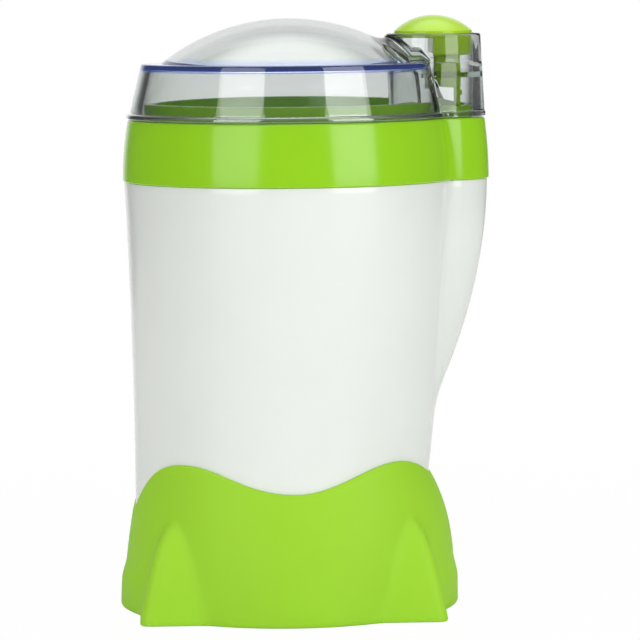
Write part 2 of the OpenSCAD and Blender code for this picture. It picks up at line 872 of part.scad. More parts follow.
// The winding's two end turns and the wire that fills the slots.
module armature_winding() {
    color(copper) {
        tube(core_top, core_top + winding_h, winding_r, shaft_r + 1.5);
        tube(core_z - winding_h, core_z, winding_r, shaft_r + 1.5);
        around(slot_angles, armature_r - slot_d)
            translate([fit_gap, -slot_w / 2 + fit_gap, core_z - cut])
                cube([winding_r - armature_r + slot_d - 2 * fit_gap, slot_w - 2 * fit_gap, core_h + 2 * cut]);
    }
}

// The commutator: a moulded core with grooves between its copper bars.
module commutator() {
    bars = 24;
    groove = 0.5;
    color(copper)
    difference() {
        union() {
            tube(commutator_z, commutator_top, commutator_r, shaft_r);
            tube(commutator_top - 1.4, commutator_top, commutator_r + 1.2, shaft_r);
        }
        around([for (i = [0 : bars - 1]) 360 * i / bars], commutator_r - 0.8)
            translate([0, -groove / 2, commutator_z - cut]) cube([4, groove, commutator_h - 1]);
    }
}

module cooling_fan() {
    blades = 9;
    web = 1.2;
    color(pale) {
        tube(fan_z, fan_z + fan_h, 6, shaft_r);
        tube(fan_z, fan_z + web, fan_r, 5);
        around([for (i = [0 : blades - 1]) 360 * i / blades], 5)
            rotate([0, 0, 18])
            translate([0, -web / 2, fan_z]) cube([fan_r - 7.5, web, fan_h]);
    }
}

// The field core: yoke ring with two pole shoes.
module field_core() {
    color("#6E7175")
    translate([0, 0, core_z])
    linear_extrude(core_h)
    difference() {
        union() {
            difference() {
                circle(field_r);
                circle(field_r - yoke);
            }
            intersection() {
                circle(field_r - yoke / 2);
                union() {
                    wedge(0);
                    wedge(180);
                }
            }
        }
        circle(field_bore);
        for (a = [90, 270]) rotate(a) translate([bolt_c, 0]) circle(bolt_r + fit_gap);
    }
}

// A flat sector of the pole shoe's angle.
module wedge(a) {
    far = 2 * field_r;
    rotate(a)
    polygon([
        [0, 0],
        [far * cos(pole_half), -far * sin(pole_half)],
        [far, 0],
        [far * cos(pole_half), far * sin(pole_half)]
    ]);
}

// A sector of a ring with a square section.
module sector(half, r0, r1, z0, z1) {
    rotate([0, 0, -half])
    rotate_extrude(angle = 2 * half)
    translate([r0, z0]) square([r1 - r0, z1 - z0]);
}

// Two field coils, each wound around a pole shoe with end turns above and below the core.
module field_coils() {
    color(copper)
    for (a = [0, 180])
        rotate([0, 0, a])
        difference() {
            sector(coil_half, coil_in, coil_out, core_z - winding_h, core_top + winding_h);
            sector(pole_half + 1, coil_in - cut, coil_out + cut, core_z - fit_gap, core_top + fit_gap);
        }
}

// The upper bracket: hub, cross, ring, ears for the mounts and posts that clamp the field core.
module upper_bracket() {
    arm_w = 9;
    color(steel)
    difference() {
        union() {
            rod(upper_z, upper_top, bracket_hub_r, bracket_hub_r);
            tube(upper_z, upper_z + bracket_t, field_r, fan_r);
            around([0, 90, 180, 270], 0)
                translate([0, -arm_w / 2, upper_z]) cube([field_r - 1, arm_w, bracket_t]);
            around(post_angles, 0)
                translate([fan_r + 1, -arm_w / 2, upper_z]) cube([post_c - fan_r - 1, arm_w, bracket_t]);
            around(post_angles, post_c) rod(upper_z, upper_z + bracket_t, mount_r, mount_r);
            around([90, 270], bolt_c) rod(core_top, upper_z + cut, bolt_post_r, bolt_post_r);
        }
        rod(upper_z - cut, upper_top + cut, shaft_r + 1, shaft_r + 1);
        rod(upper_top - bush_h, upper_top + cut, bush_seat_r, bush_seat_r);
        around(post_angles, post_c)
            rod(upper_z - cut, upper_z + bracket_t + cut, mount_neck + fit_gap, mount_neck + fit_gap);
        around([90, 270], bolt_c)
            rod(core_top - cut, upper_z + bracket_t + cut, bolt_r + fit_gap, bolt_r + fit_gap);
    }
}

// The lower bracket: hub and cross, with posts up to the field core.
module lower_bracket() {
    bar_w = 12;
    color(steel)
    difference() {
        union() {
            rod(lower_z - lower_hub_h, lower_z + bracket_t, bracket_hub_r, bracket_hub_r);
            around([0, 90, 180, 270], 0)
                translate([0, -bar_w / 2, lower_z]) cube([field_r, bar_w, bracket_t]);
            around([90, 270], bolt_c) rod(lower_z, core_z, bolt_post_r, bolt_post_r);
        }
        rod(lower_z - lower_hub_h - cut, lower_z + bracket_t + cut, shaft_r + 1, shaft_r + 1);
        rod(lower_z - lower_hub_h - cut, lower_z - lower_hub_h + bush_h, bush_seat_r, bush_seat_r);
        around([90, 270], bolt_c)
            rod(lower_z - cut, core_z + cut, bolt_r + fit_gap, bolt_r + fit_gap);
    }
}

module upper_bush() {
    color(brass)
    tube(upper_top - bush_h, upper_top, bush_r, shaft_r + run_gap);
}

module lower_bush() {
    color(brass)
    tube(lower_z - lower_hub_h, lower_z - lower_hub_h + bush_h, bush_r, shaft_r + run_gap);
}

// Two brush holders: square brass tubes on insulated feet that stand on the lower bracket.
module brush_holders() {
    outer = brush_w + 2 * brush_wall;
    color(brass)
    around([0, 180], holder_in)
    difference() {
        union() {
            translate([0, -outer / 2, brush_z - outer / 2]) cube([holder_l, outer, outer]);
            translate([2, -outer / 2, lower_z + bracket_t])
                cube([holder_l - 4, outer, brush_z - outer / 2 - lower_z - bracket_t + cut / 2]);
        }
        translate([-cut, -brush_w / 2 - fit_gap, brush_z - brush_w / 2 - fit_gap])
            cube([holder_l - brush_wall + cut, brush_w + 2 * fit_gap, brush_w + 2 * fit_gap]);
    }
}

module carbon_brushes() {
    color(dark)
    around([0, 180], commutator_r + brush_gap)
        translate([0, -brush_w / 2, brush_z - brush_w / 2]) cube([brush_l, brush_w, brush_w]);
}

module brush_springs() {
    back = commutator_r + brush_gap + brush_l;
    stop = holder_in + holder_l - brush_wall;
    color(steel)
    for (a = [0, 180])
        rotate([0, 0, a])
        translate([0, 0, brush_z])
        rotate([0, 90, 0])
        helix(back, stop, brush_w / 2 - 0.7, 0.35, 3);
}

// Two long bolts that clamp the brackets on the field core.
module motor_bolts() {
    color(steel)
    around([90, 270], bolt_c)
        screw_up(lower_z, bolt_r, upper_z + bracket_t - lower_z, 2);
}

// Three rubber mounts, each a sleeve with a lip on either side of the bracket's ear.
module motor_mounts() {
    color(dark)
    around(post_angles, post_c)
    difference() {
        union() {
            rod(upper_z - mount_lip, upper_z, mount_r, mount_r);
            rod(upper_z - cut / 4, upper_z + bracket_t + cut / 4, mount_neck, mount_neck);
            rod(upper_z + bracket_t, post_z, mount_r, mount_r);
        }
        rod(upper_z - mount_lip - cut, post_z + cut, screw_r + fit_gap, screw_r + fit_gap);
    }
}

module motor_screws() {
    color(steel)
    around(post_angles, post_c)
        screw_up(upper_z - mount_lip, screw_r, screw_l, 2);
}

// The rod that carries the button's push down to the switch.
module push_rod() {
    color(pale)
    translate([lobe_c, 0, 0]) {
        rod(rod_top - rod_head_t, rod_top, rod_head_r, rod_head_r);
        rod(rod_end + nose_r + 2, rod_top - rod_head_t + cut / 4, rod_r, rod_r);
        rod(rod_end + nose_r, rod_end + nose_r + 2, nose_r, rod_r);
        translate([0, 0, rod_end + nose_r]) sphere(nose_r);
    }
}

module rod_spring() {
    color(steel)
    translate([lobe_c, 0, 0])
        helix(pocket_floor + 0.1, rod_top - rod_head_t - 0.1, rod_r + 2.6, spring_wire, spring_turns);
}

// The switch's case with two ears for the lever's pivot.
module microswitch() {
    ear_t = 1;
    ear_l = 3;
    ear_h = 2;
    color(dark)
    translate([lobe_c, 0, 0])
    difference() {
        union() {
            translate([-switch_t / 2, -switch_l / 2, switch_top - switch_h])
                cube([switch_t, switch_l, switch_h]);
            for (x = [-switch_t / 2, switch_t / 2 - ear_t])
                translate([x, pivot_y - ear_l / 2, switch_top - cut / 2])
                    cube([ear_t, ear_l, ear_h + cut / 2]);
        }
        translate([-switch_t, pivot_y, pivot_z])
            rotate([0, 90, 0]) cylinder(h = 2 * switch_t, r = pivot_r + run_gap);
        translate([0, plunger_y, 0])
            rod(switch_top - 4, switch_top + cut, plunger_r + run_gap, plunger_r + run_gap);
        for (side = [-1, 1])
            translate([-switch_t, side * switch_hole_y, switch_top - switch_h / 2])
                rotate([0, 90, 0]) cylinder(h = 2 * switch_t, r = switch_screw_r + fit_gap);
    }
}

module switch_terminals() {
    tab_w = 3.2;
    tab_t = 0.6;
    color(brass)
    for (y = [-tab_y, 0, tab_y])
        translate([lobe_c - tab_t / 2, y - tab_w / 2, switch_top - switch_h - tab_h])
            cube([tab_t, tab_w, tab_h]);
}

// The spring steel lever, which turns on its pivot pin.
module switch_lever() {
    color(steel)
    translate([lobe_c, pivot_y, pivot_z]) {
        translate([-switch_t / 2, 0, 0]) rotate([0, 90, 0]) cylinder(h = switch_t, r = pivot_r);
        rotate([lever_tilt, 0, 0])
            translate([-lever_w / 2, 0, -lever_t / 2]) cube([lever_w, lever_reach, lever_t]);
    }
}

module switch_plunger() {
    color("#B5372F")
    translate([lobe_c, plunger_y, 0])
        rod(switch_top - 2.4, plunger_top, plunger_r, plunger_r);
}

module switch_screws() {
    head_t = 1.2;
    face = lobe_c + switch_t / 2;
    color(steel)
    for (side = [-1, 1])
        translate([face, side * switch_hole_y, switch_top - switch_h / 2])
            rotate([0, -90, 0])
            screw_up(0, switch_screw_r, switch_t + hanger_t, head_t);
}

// A bare tube of a lead along its own points.
module lead(route, r) {
    sides = 8;
    n = len(route);
    function along(i) =
        let (d = route[min(n - 1, i + 1)] - route[max(0, i - 1)]) d / norm(d);
    function side_of(d) = let (s = cross(d, [0.31, 0.84, 0.44])) s / norm(s);
    points = [
        for (i = [0 : n - 1])
            let (d = along(i), u = side_of(d), v = cross(d, u))
            for (k = [0 : sides - 1]) route[i] + r * (u * cos(360 * k / sides) + v * sin(360 * k / sides))
    ];
    walls = [
        for (i = [0 : n - 2], k = [0 : sides - 1])
            let (l = (k + 1) % sides)
            each [
                [i * sides + k, (i + 1) * sides + l, (i + 1) * sides + k],
                [i * sides + k, i * sides + l, (i + 1) * sides + l]
            ]
    ];
    last = (n - 1) * sides;
    caps = [for (k = [1 : sides - 2]) each [[0, k + 1, k], [last, last + k, last + k + 1]]];
    polyhedron(points, concat(walls, caps));
}

// A smooth run of points through a few guide points.
function smooth_run(p, steps) = [
    for (i = [0 : len(p) - 2], s = [0 : steps - 1]) run_point(p, i, s / steps),
    p[len(p) - 1]
];

function run_point(p, i, t) =
    let (a = p[max(0, i - 1)], b = p[i], c = p[i + 1], d = p[min(len(p) - 1, i + 2)])
    0.5 * (2 * b + (c - a) * t + (2 * a - 5 * b + 4 * c - d) * t * t + (3 * b - a - 3 * c + d) * t * t * t);

// Inner leads: from the gland to the switch, from the switch to a brush, from a brush to the gland.
module lead_wires() {
    touch = 0.2;
    near = 1.6 * lead_r;
    bend = 6 * lead_r;
    lane = (field_r + housing_inner(core_z)) / 2;
    tab_z = switch_top - switch_h - tab_h - lead_r - touch;
    tail = gland_seat() - skirt_wall - gland_tail - touch;
    holder_x = holder_in + holder_l + lead_r + touch;
    color("#8A4B2A")
    lead(smooth_run([
        [near, tail, gland_z],
        [near + 2, tail - bend, gland_z + 2],
        polar(66, lane - 4, lower_z - 4),
        polar(29, lane + 1, core_z),
        polar(14, lane + 2, core_top),
        [lobe_c - lead_r, tab_y, tab_z]
    ], 3), lead_r);
    color("#3C6FA5")
    lead(smooth_run([
        [lobe_c - lead_r, -tab_y, tab_z],
        polar(-11, lane + 1.5, core_top - 4),
        polar(-8, lane - 3, core_z),
        [holder_x + lead_r, -2 * lead_r, brush_z + 8],
        [holder_x, 0, brush_z]
    ], 3), lead_r);
    color("#D9D9D2")
    lead(smooth_run([
        [-near, tail, gland_z],
        [-near - 2, tail - bend, gland_z + 2],
        polar(129, lane - 1.5, lower_z - 6),
        polar(160, holder_x + 2.5, brush_z - 8),
        [-holder_x, 0, brush_z]
    ], 3), lead_r);
}

translate([axis_x, 0, 0]) {
    lid();
    push_button();
    collar();
    housing();
    base_skirt();
    base_plate();
    base_screws();
    rubber_feet();
    cord_gland();
    grinding_bowl();
    bowl_gasket();
    shaft_seal();
    blade();
    blade_hub();
    blade_nut();
    motor_shaft();
    armature_core();
    armature_winding();
    commutator();
    cooling_fan();
    field_core();
    field_coils();
    upper_bracket();
    lower_bracket();
    upper_bush();
    lower_bush();
    brush_holders();
    carbon_brushes();
    brush_springs();
    motor_bolts();
    motor_mounts();
    motor_screws();
    push_rod();
    rod_spring();
    microswitch();
    switch_terminals();
    switch_lever();
    switch_plunger();
    switch_screws();
    lead_wires();
}
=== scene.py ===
import math

import bmesh
import bpy
from mathutils import Matrix, Vector


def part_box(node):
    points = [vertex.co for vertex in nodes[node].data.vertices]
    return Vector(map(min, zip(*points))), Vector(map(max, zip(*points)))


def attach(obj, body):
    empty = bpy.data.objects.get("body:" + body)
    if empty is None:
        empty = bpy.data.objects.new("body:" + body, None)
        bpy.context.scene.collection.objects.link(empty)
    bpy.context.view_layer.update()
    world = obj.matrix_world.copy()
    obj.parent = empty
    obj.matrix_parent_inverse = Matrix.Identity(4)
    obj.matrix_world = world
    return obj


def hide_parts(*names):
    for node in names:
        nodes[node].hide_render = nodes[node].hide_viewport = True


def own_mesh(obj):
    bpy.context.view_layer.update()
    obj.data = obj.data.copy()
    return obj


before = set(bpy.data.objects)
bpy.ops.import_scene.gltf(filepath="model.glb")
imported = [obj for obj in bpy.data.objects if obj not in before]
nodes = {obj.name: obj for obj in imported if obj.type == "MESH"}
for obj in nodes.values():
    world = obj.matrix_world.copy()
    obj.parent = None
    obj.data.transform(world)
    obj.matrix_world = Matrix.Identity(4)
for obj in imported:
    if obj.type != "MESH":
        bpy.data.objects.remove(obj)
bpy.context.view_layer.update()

# Housing: the white body is one tapering tube with a lobe on the button's side that fades out at
# half height. It is injection moulded and glossy, and four screw bosses stand near its lower edge.
# All meshes are drawn in millimetres around the spindle and are then set into the frame.
MM = 0.001
spindle = Vector((sum(corner.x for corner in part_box("motor_shaft")) / 2, 0, 0))


def reach(node):
    """Lowest and highest corner of a CAD node in millimetres, from the spindle's foot."""
    return [(corner - spindle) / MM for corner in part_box(node)]


def middle(node, axis):
    """Middle of a CAD node along an axis, in millimetres from the spindle's foot."""
    low, high = reach(node)
    return (getattr(low, axis) + getattr(high, axis)) / 2


def plan(degrees, radius, shift=0.0):
    """A place in plan at an angle and a radius, moved along the lobe's line."""
    turn = math.radians(degrees)
    return shift + radius * math.cos(turn), radius * math.sin(turn)


def rounded(corners, steps=5):
    """An outline through corners of (radius, height, rounding), each rounded corner as an arc."""
    points = []
    for i, (r, z, rounding) in enumerate(corners):
        here = Vector((r, z))
        if not rounding:
            points.append((r, z))
            continue
        before = (Vector(corners[i - 1][:2]) - here).normalized()
        after = (Vector(corners[(i + 1) % len(corners)][:2]) - here).normalized()
        half = before.angle(after) / 2
        centre = here + (before + after).normalized() * rounding / math.sin(half)
        start, end = (here + side * rounding / math.tan(half) - centre for side in (before, after))
        first = math.atan2(start.y, start.x)
        sweep = (math.atan2(end.y, end.x) - first + math.pi) % math.tau - math.pi
        for step in range(steps + 1):
            turn = first + sweep * step / steps
            points.append((centre.x + rounding * math.cos(turn), centre.y + rounding * math.sin(turn)))
    return points


def spun(bm, outline, steps, centre=(0, 0), start=0.0, sweep=math.tau, is_open=False):
    """Spins an outline of (radius, height) points about an upright axis, in full or by a part turn."""
    foot = Vector((*centre, 0))
    x, y = math.cos(start), math.sin(start)
    ring = [bm.verts.new(foot + Vector((r * x, r * y, z))) for r, z in outline]
    edges = [bm.edges.new(pair) for pair in zip(ring, ring[1:])]
    if not is_open:
        edges.append(bm.edges.new((ring[-1], ring[0])))
    whole = abs(sweep - math.tau) < 1e-6
    path = {"cent": foot, "axis": (0, 0, 1), "angle": sweep, "steps": steps}
    bmesh.ops.spin(bm, geom=ring + edges, use_merge=whole, **path)
    if not whole:
        bmesh.ops.holes_fill(bm, edges=[edge for edge in bm.edges if edge.is_boundary], sides=0)
    bmesh.ops.remove_doubles(bm, verts=bm.verts, dist=1e-5)
    return bm


def remould(bm, rule):
    """Moves each vertex by a rule on its angle about the spindle, its radius and its height."""
    for vert in bm.verts:
        x, y, z = vert.co
        angle, radius, z = rule(math.atan2(y, x), math.hypot(x, y), z)
        vert.co = (radius * math.cos(angle), radius * math.sin(angle), z)
    return bm


def gathered(angle, pull=0.55):
    """Draws evenly spaced angles together towards the lobe, where the outline turns quickest."""
    return angle - pull * math.sin(angle)


def solid(name, bm, crease=math.radians(32)):
    """Makes a closed mesh object in the frame, shaded smooth except at its creases."""
    bmesh.ops.recalc_face_normals(bm, faces=bm.faces)
    bm.transform(Matrix.Translation(spindle) @ Matrix.Scale(MM, 4))
    mesh = bpy.data.meshes.new(name)
    bm.to_mesh(mesh)
    bm.free()
    mesh.shade_smooth()
    mesh.set_sharp_from_angle(angle=crease)
    piece = bpy.data.objects.new(name, mesh)
    bpy.context.scene.collection.objects.link(piece)
    return piece


def dress(piece, material, body, node):
    """Gives a finished piece its material, the body it rides on and the node that it stands for."""
    piece.data.materials.clear()
    piece.data.materials.append(material)
    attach(piece, body)
    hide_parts(node)


class Socket:
    """An output in a material's nodes. Arithmetic on it adds Math nodes."""

    def __init__(self, tree, output):
        self.tree = tree
        self.output = output

    def add(self, kind, settings, inputs, output=0):
        """Adds a node of any kind: its settings first, then the values or links of its sockets."""
        node = self.tree.nodes.new(kind)
        for name, value in settings.items():
            setattr(node, name, value)
        for key, value in inputs.items():
            if isinstance(value, Socket):
                self.tree.links.new(value.output, node.inputs[key])
            else:
                node.inputs[key].default_value = value
        return Socket(self.tree, node.outputs[output])

    def math(self, operation, first, second):
        return self.add("ShaderNodeMath", {"operation": operation}, {0: first, 1: second})

    def __add__(self, other):
        return self.math("ADD", self, other)

    def __sub__(self, other):
        return self.math("SUBTRACT", self, other)

    def __rsub__(self, other):
        return self.math("SUBTRACT", other, self)

    def __mul__(self, other):
        return self.math("MULTIPLY", self, other)

    def __pow__(self, other):
        return self.math("POWER", self, other)

    __radd__ = __add__
    __rmul__ = __mul__

    def noise(self, scale, detail=2.0):
        return self.add("ShaderNodeTexNoise", {}, {"Vector": self, "Scale": scale, "Detail": detail})

    def about(self, level, spread):
        """A level that moves up and down with this pattern, which runs from 0 to 1."""
        return level + spread * (self - 0.5)

    def ramp(self, first, last, low, high, kind="LINEAR"):
        """Runs from low to high as this value goes from first to last, and stays there."""
        ends = {"Value": self, 1: first, 2: last, 3: low, 4: high}
        return self.add("ShaderNodeMapRange", {"interpolation_type": kind}, ends)

    def vector(self, operation, other=(0, 0, 0), output="Vector"):
        return self.add("ShaderNodeVectorMath", {"operation": operation}, {0: self, 1: other}, output)

    def height(self):
        return self.add("ShaderNodeSeparateXYZ", {}, {0: self}, "Z")

    def mix(self, first, second):
        """A colour between two, by this value."""
        ends = [end if isinstance(end, Socket) else (*end, 1) for end in (first, second)]
        return self.add("ShaderNodeMix", {"data_type": "RGBA"}, {"Factor": self, 6: ends[0], 7: ends[1]}, 2)

    def bump(self, strength, distance):
        return self.add("ShaderNodeBump", {}, {"Strength": strength, "Distance": distance, "Height": self})

    def feed(self, shader, name):
        self.tree.links.new(self.output, shader.inputs[name])


def surface(name, **fixed):
    """A new material: its shader, with the values that are the same all over, and its own coordinates."""
    material = bpy.data.materials.new(name)
    material.use_nodes = True
    tree = material.node_tree
    shader = tree.nodes["Principled BSDF"]
    for socket, value in fixed.items():
        shader.inputs[socket.replace("_", " ")].default_value = value
    place = Socket(tree, tree.nodes.new("ShaderNodeTexCoord").outputs["Object"])
    return material, shader, place


def shade(colour, by):
    """A colour made lighter or darker."""
    return tuple(channel * by for channel in colour)


def moulded(name, colour, gloss, grain, **fixed):
    """Moulded plastic: faint flow marks, a handled sheen and a fine grain from the mould."""
    material, shader, place = surface(name, **fixed)
    flow = place.noise(scale=35.0, detail=3.0)
    handling = place.noise(scale=90.0, detail=4.0)
    flow.mix(shade(colour, 0.96), shade(colour, 1.04)).feed(shader, "Base Color")
    handling.about(gloss, spread=0.08).feed(shader, "Roughness")
    place.noise(scale=grain).bump(strength=0.05, distance=0.0001).feed(shader, "Normal")
    return material


housing_foot, housing_top = (corner.z for corner in reach("housing"))
housing_r = 50.2
housing_taper = 0.059
housing_wall = 2.5
housing_round = 0.5
waist_shift = 2.85
waist_bend = 1.63
waist_z = 43
lobe_c = middle("push_button", "x")
lobe_r = 16.3
lobe_slope = 0.014
lobe_curve = 0.0034
lobe_blend = 2.4


def ray(r, centre, a):
    """Distance from the spindle at angle a to a circle whose middle lies on the lobe's line."""
    room = r * r - (centre * math.sin(a)) ** 2
    if room <= 0 or (centre > r and math.cos(a) < 0):
        return 0.0
    return centre * math.cos(a) + math.sqrt(room)


def soft_max(a, b, blend):
    """The larger of two lengths, rounded over where they meet."""
    return max(a, b) + max(blend - abs(a - b), 0) ** 2 / (4 * blend)


def soft_min(a, b, blend):
    """The smaller of two lengths, rounded over where they meet."""
    return -soft_max(-a, -b, blend)


def housing_at(a, z):
    """Outer radius of the housing at angle a and height z."""
    drop = housing_top - z
    side = -waist_shift * (drop / (housing_top - waist_z)) ** waist_bend
    lobe_centre = lobe_c - lobe_slope * drop - lobe_curve * drop * drop
    plain = ray(housing_r - drop * housing_taper, side, a)
    lobe = ray(lobe_r, lobe_centre, a) if lobe_centre > lobe_r / 2 else 0
    return soft_max(plain, lobe, lobe_blend)


# The outlines of shaped walls are spun at one large radius, the rule, which stands for the outer
# face. A point inside it keeps its depth below that face when the wall is remoulded.
rule_r = 100


def housing_rule(a, r, z):
    """Places a point of the housing's wall."""
    a = gathered(a)
    return a, housing_at(a, z) - (rule_r - r), z


wall_steps = 56
wall_h = housing_top - housing_round - housing_foot
heights = [housing_foot + wall_h * i / wall_steps for i in range(wall_steps + 1)]
housing_outline = [
    *((rule_r, z) for z in heights),
    (rule_r - 0.3 * housing_round, housing_top - 0.3 * housing_round),
    (rule_r - housing_round, housing_top),
    (rule_r - housing_wall, housing_top),
    *((rule_r - housing_wall, z) for z in heights[::-2]),
]
shell = remould(spun(bmesh.new(), housing_outline, 360), housing_rule)
boss_r = 3.5
boss_hole = 1.7
boss_round = 0.3
boss_h = 18
boss_in = 2.3
boss_c = housing_r - (housing_top - housing_foot) * housing_taper - housing_wall - boss_in
boss_outline = [
    (boss_hole, housing_foot, 0),
    (boss_r, housing_foot, boss_round),
    (boss_r, housing_foot + boss_h, boss_round),
    (boss_hole, housing_foot + boss_h, 0),
]
for degrees in (45, 135, 225, 315):
    boss_at = plan(degrees, boss_c, middle("base_screws", "x"))
    spun(shell, rounded(boss_outline, steps=2), 24, boss_at)
polish = {"Coat_Weight": 0.25, "Coat_Roughness": 0.08}
white = moulded("white_gloss", (0.80, 0.83, 0.79), gloss=0.2, grain=900.0, **polish)
dress(solid("housing_shell", shell), white, "stand", "housing")

# Base skirt: a satin green moulding that clips over the housing's foot. Its edge runs in a wave,
# its sides flare over a low pad, and four arched toes stand out at the corners over the rubber feet.
# The cord's hole is at the back, with a seat for the inlet bush, and the base plate closes it below.
skirt_foot = reach("base_skirt")[0].z
skirt_x = -1
foot_line = housing_r - housing_top * housing_taper
skirt_side = foot_line + 8.2
skirt_front = foot_line + 7.5
side_pad = 1.0
side_pad_h = 15
side_pad_fade = 7
side_pad_half = math.radians(37)
side_pad_soft = math.radians(6)
skirt_peak = 47.1
wave_front = 7.75
wave_lobe = 7.7
wave_far = 18.4
far_steep = 0.35
peak_shift = math.radians(1.94)
skirt_bulge = 2
lobe_bulge = 1.1
far_bulge = 0.25
skirt_wall = 2.4
skirt_lip = 0.9
toe_front = 7.0
toe_side = 4.75
toe_front_lean = 0.17
toe_side_lean = 0.2
toe_h = 31.5
toe_arch = 6
toe_round = 5
toe_blend = 1.5
least_turn = 0.1
fit_gap = 0.1


def soft_step(t):
    """A soft step from 0 to 1."""
    t = max(0.0, min(1.0, t))
    return t * t * (3 - 2 * t)


def between(a, b):
    """The angle between two directions."""
    return abs((a - b + math.pi) % math.tau - math.pi)


def skirt_edge(a):
    """Height of the skirt's wavy edge at angle a. It dips deeper and steeper on the far side."""
    is_far = math.cos(a) < 0
    across = math.cos(a) ** 2
    side = wave_far if is_far else wave_lobe
    wave = (1 + math.cos(4 * a - 4 * peak_shift * math.sin(2 * a))) / 2
    steep = 1 + far_steep * across if is_far else 1
    return skirt_peak - (wave_front + (side - wave_front) * across) * wave**steep


def toe_at(a, z):
    """Distance to the toes at angle a and height z: a square whose round corners stand out."""
    up = min(1, z / toe_h)
    arch = toe_arch * (1 - math.sqrt(1 - up**4)) + max(0, z - toe_h)
    front = skirt_front - toe_front - toe_front_lean * z - arch
    side = skirt_side - toe_side - toe_side_lean * z - arch + math.copysign(skirt_x, -math.cos(a))
    front_way = front / max(least_turn, abs(math.sin(a)))
    side_way = side / max(least_turn, abs(math.cos(a)))
    return soft_min(front_way, side_way, toe_round)


def pad_out(a, z):
    """How far the low pad on a side stands out at angle a and height z."""
    off = min(between(a, 0), between(a, math.pi))
    low_part = soft_step((side_pad_h - z) / side_pad_fade)
    return side_pad * low_part * soft_step((side_pad_half - off) / side_pad_soft + 0.5)


def skirt_at(a, z):
    """Outer radius of the skirt at angle a and height z."""
    edge = skirt_edge(a)
    drop = max(0, min(1, (edge - z) / edge))
    top = housing_at(a, edge) + fit_gap + skirt_lip
    mean = (skirt_side + skirt_front) / 2
    foot = ray(mean + (skirt_side - skirt_front) / 2 * math.cos(2 * a), skirt_x, a)
    bulge = skirt_bulge + (lobe_bulge if math.cos(a) > 0 else far_bulge) * math.cos(a)
    flare = top + (foot - top) * (1 - (1 - drop) ** bulge) + pad_out(a, z)
    return soft_max(flare, toe_at(a, z), toe_blend)


def skirt_rule(a, r, level):
    """Places a point of the skirt's wall: its level runs from the foot to the edge."""
    z = skirt_foot + (skirt_edge(a) - skirt_foot) * level
    if r > rule_r / 2:
        return a, skirt_at(a, z) - (rule_r - r), z
    return a, max(housing_at(a, max(z, housing_foot)) + fit_gap, skirt_at(a, z) - skirt_wall), z


skirt_steps = 48
low_level = 0.02
level_span = 0.97
foot_round = [(0.6, 0.0), (0.2, 0.006)]
edge_round = [(0.15, 0.997), (0.4, 1.0)]
levels = [low_level + level_span * i / skirt_steps for i in range(skirt_steps + 1)]
skirt_outline = [
    *((rule_r - depth, level) for depth, level in foot_round),
    *((rule_r, level) for level in levels),
    *((rule_r - depth, level) for depth, level in edge_round),
    *((rule_r / 4, level) for level in [1.0] + levels[::-3] + [0.0]),
]
skirt = solid("skirt_shell", remould(spun(bmesh.new(), skirt_outline, 480), skirt_rule))


def cut(body, tool, operation="DIFFERENCE"):
    """Cuts a solid piece with another, or joins them, and clears the tool away."""
    modifier = body.modifiers.new("cut", "BOOLEAN")
    modifier.operation = operation
    modifier.solver = "EXACT"
    modifier.object = tool
    seen = body.evaluated_get(bpy.context.evaluated_depsgraph_get())
    mesh = bpy.data.meshes.new_from_object(seen)
    body.modifiers.clear()
    body.data = mesh
    bpy.data.objects.remove(tool)


def give(material, *names):
    """Gives a material to CAD nodes whose shape stays as it is."""
    for name in names:
        nodes[name].data.materials[0] = material


gland_z = middle("cord_gland", "z")
gland_neck = 5.1
gland_lip = 6.6
lip_sunk = 0.3
seat = skirt_at(math.pi / 2, gland_z) - lip_sunk
gland_way = [
    (0, 0),
    (gland_neck, 0),
    (gland_neck, seat),
    (gland_lip, seat),
    (gland_lip, 2 * seat),
    (0, 2 * seat),
]
gland_hole = spun(bmesh.new(), gland_way, 64, is_open=True)
gland_hole.transform(Matrix.Translation((0, 0, gland_z)) @ Matrix.Rotation(-math.pi / 2, 4, "X"))
cut(skirt, solid("gland_hole", gland_hole))
lime = (0.335, 0.66, 0.026)
satin = moulded("lime_satin", lime, gloss=0.55, grain=1600.0, Specular_IOR_Level=0.25)
dress(skirt, satin, "stand", "base_skirt")
give(satin, "base_plate")

# Feet, inlet and inner rubber: moulded black rubber, matt with a light bloom. The feet are pushed
# into the base plate, the inlet bush into the skirt's back, and the mounts into the motor's ears.
rubber, rubber_shader, rubber_place = surface("black_rubber", Specular_IOR_Level=0.3)
bloom = rubber_place.noise(scale=260.0, detail=5.0)
bloom.mix((0.020, 0.020, 0.021), (0.050, 0.049, 0.047)).feed(rubber_shader, "Base Color")
bloom.about(0.72, spread=0.2).feed(rubber_shader, "Roughness")
rubber_place.noise(scale=2600.0).bump(strength=0.2, distance=0.0001).feed(rubber_shader, "Normal")
give(rubber, "rubber_feet", "cord_gland", "bowl_gasket", "shaft_seal", "motor_mounts")


# Screws, bolts, brush springs and brackets: zinc plated steel, pale and slightly mottled. The bolts
# clamp the brackets on the field core, and the screws hold the plate, the motor and the switch.
def metal(name, dark, light, dull, mottle):
    """Bare or plated metal with a mottled sheen and fine rubbing marks."""
    material, shader, place = surface(name, Metallic=1.0)
    patches = place.noise(scale=mottle, detail=4.0)
    patches.mix(dark, light).feed(shader, "Base Color")
    patches.about(dull, spread=0.16).feed(shader, "Roughness")
    place.noise(scale=3000.0).bump(strength=0.08, distance=0.00005).feed(shader, "Normal")
    return material


zinc = metal("zinc_steel", (0.55, 0.56, 0.58), (0.70, 0.70, 0.69), dull=0.38, mottle=420.0)
give(zinc, "base_screws", "motor_bolts", "motor_screws", "switch_screws", "brush_springs")
give(zinc, "upper_bracket", "lower_bracket")

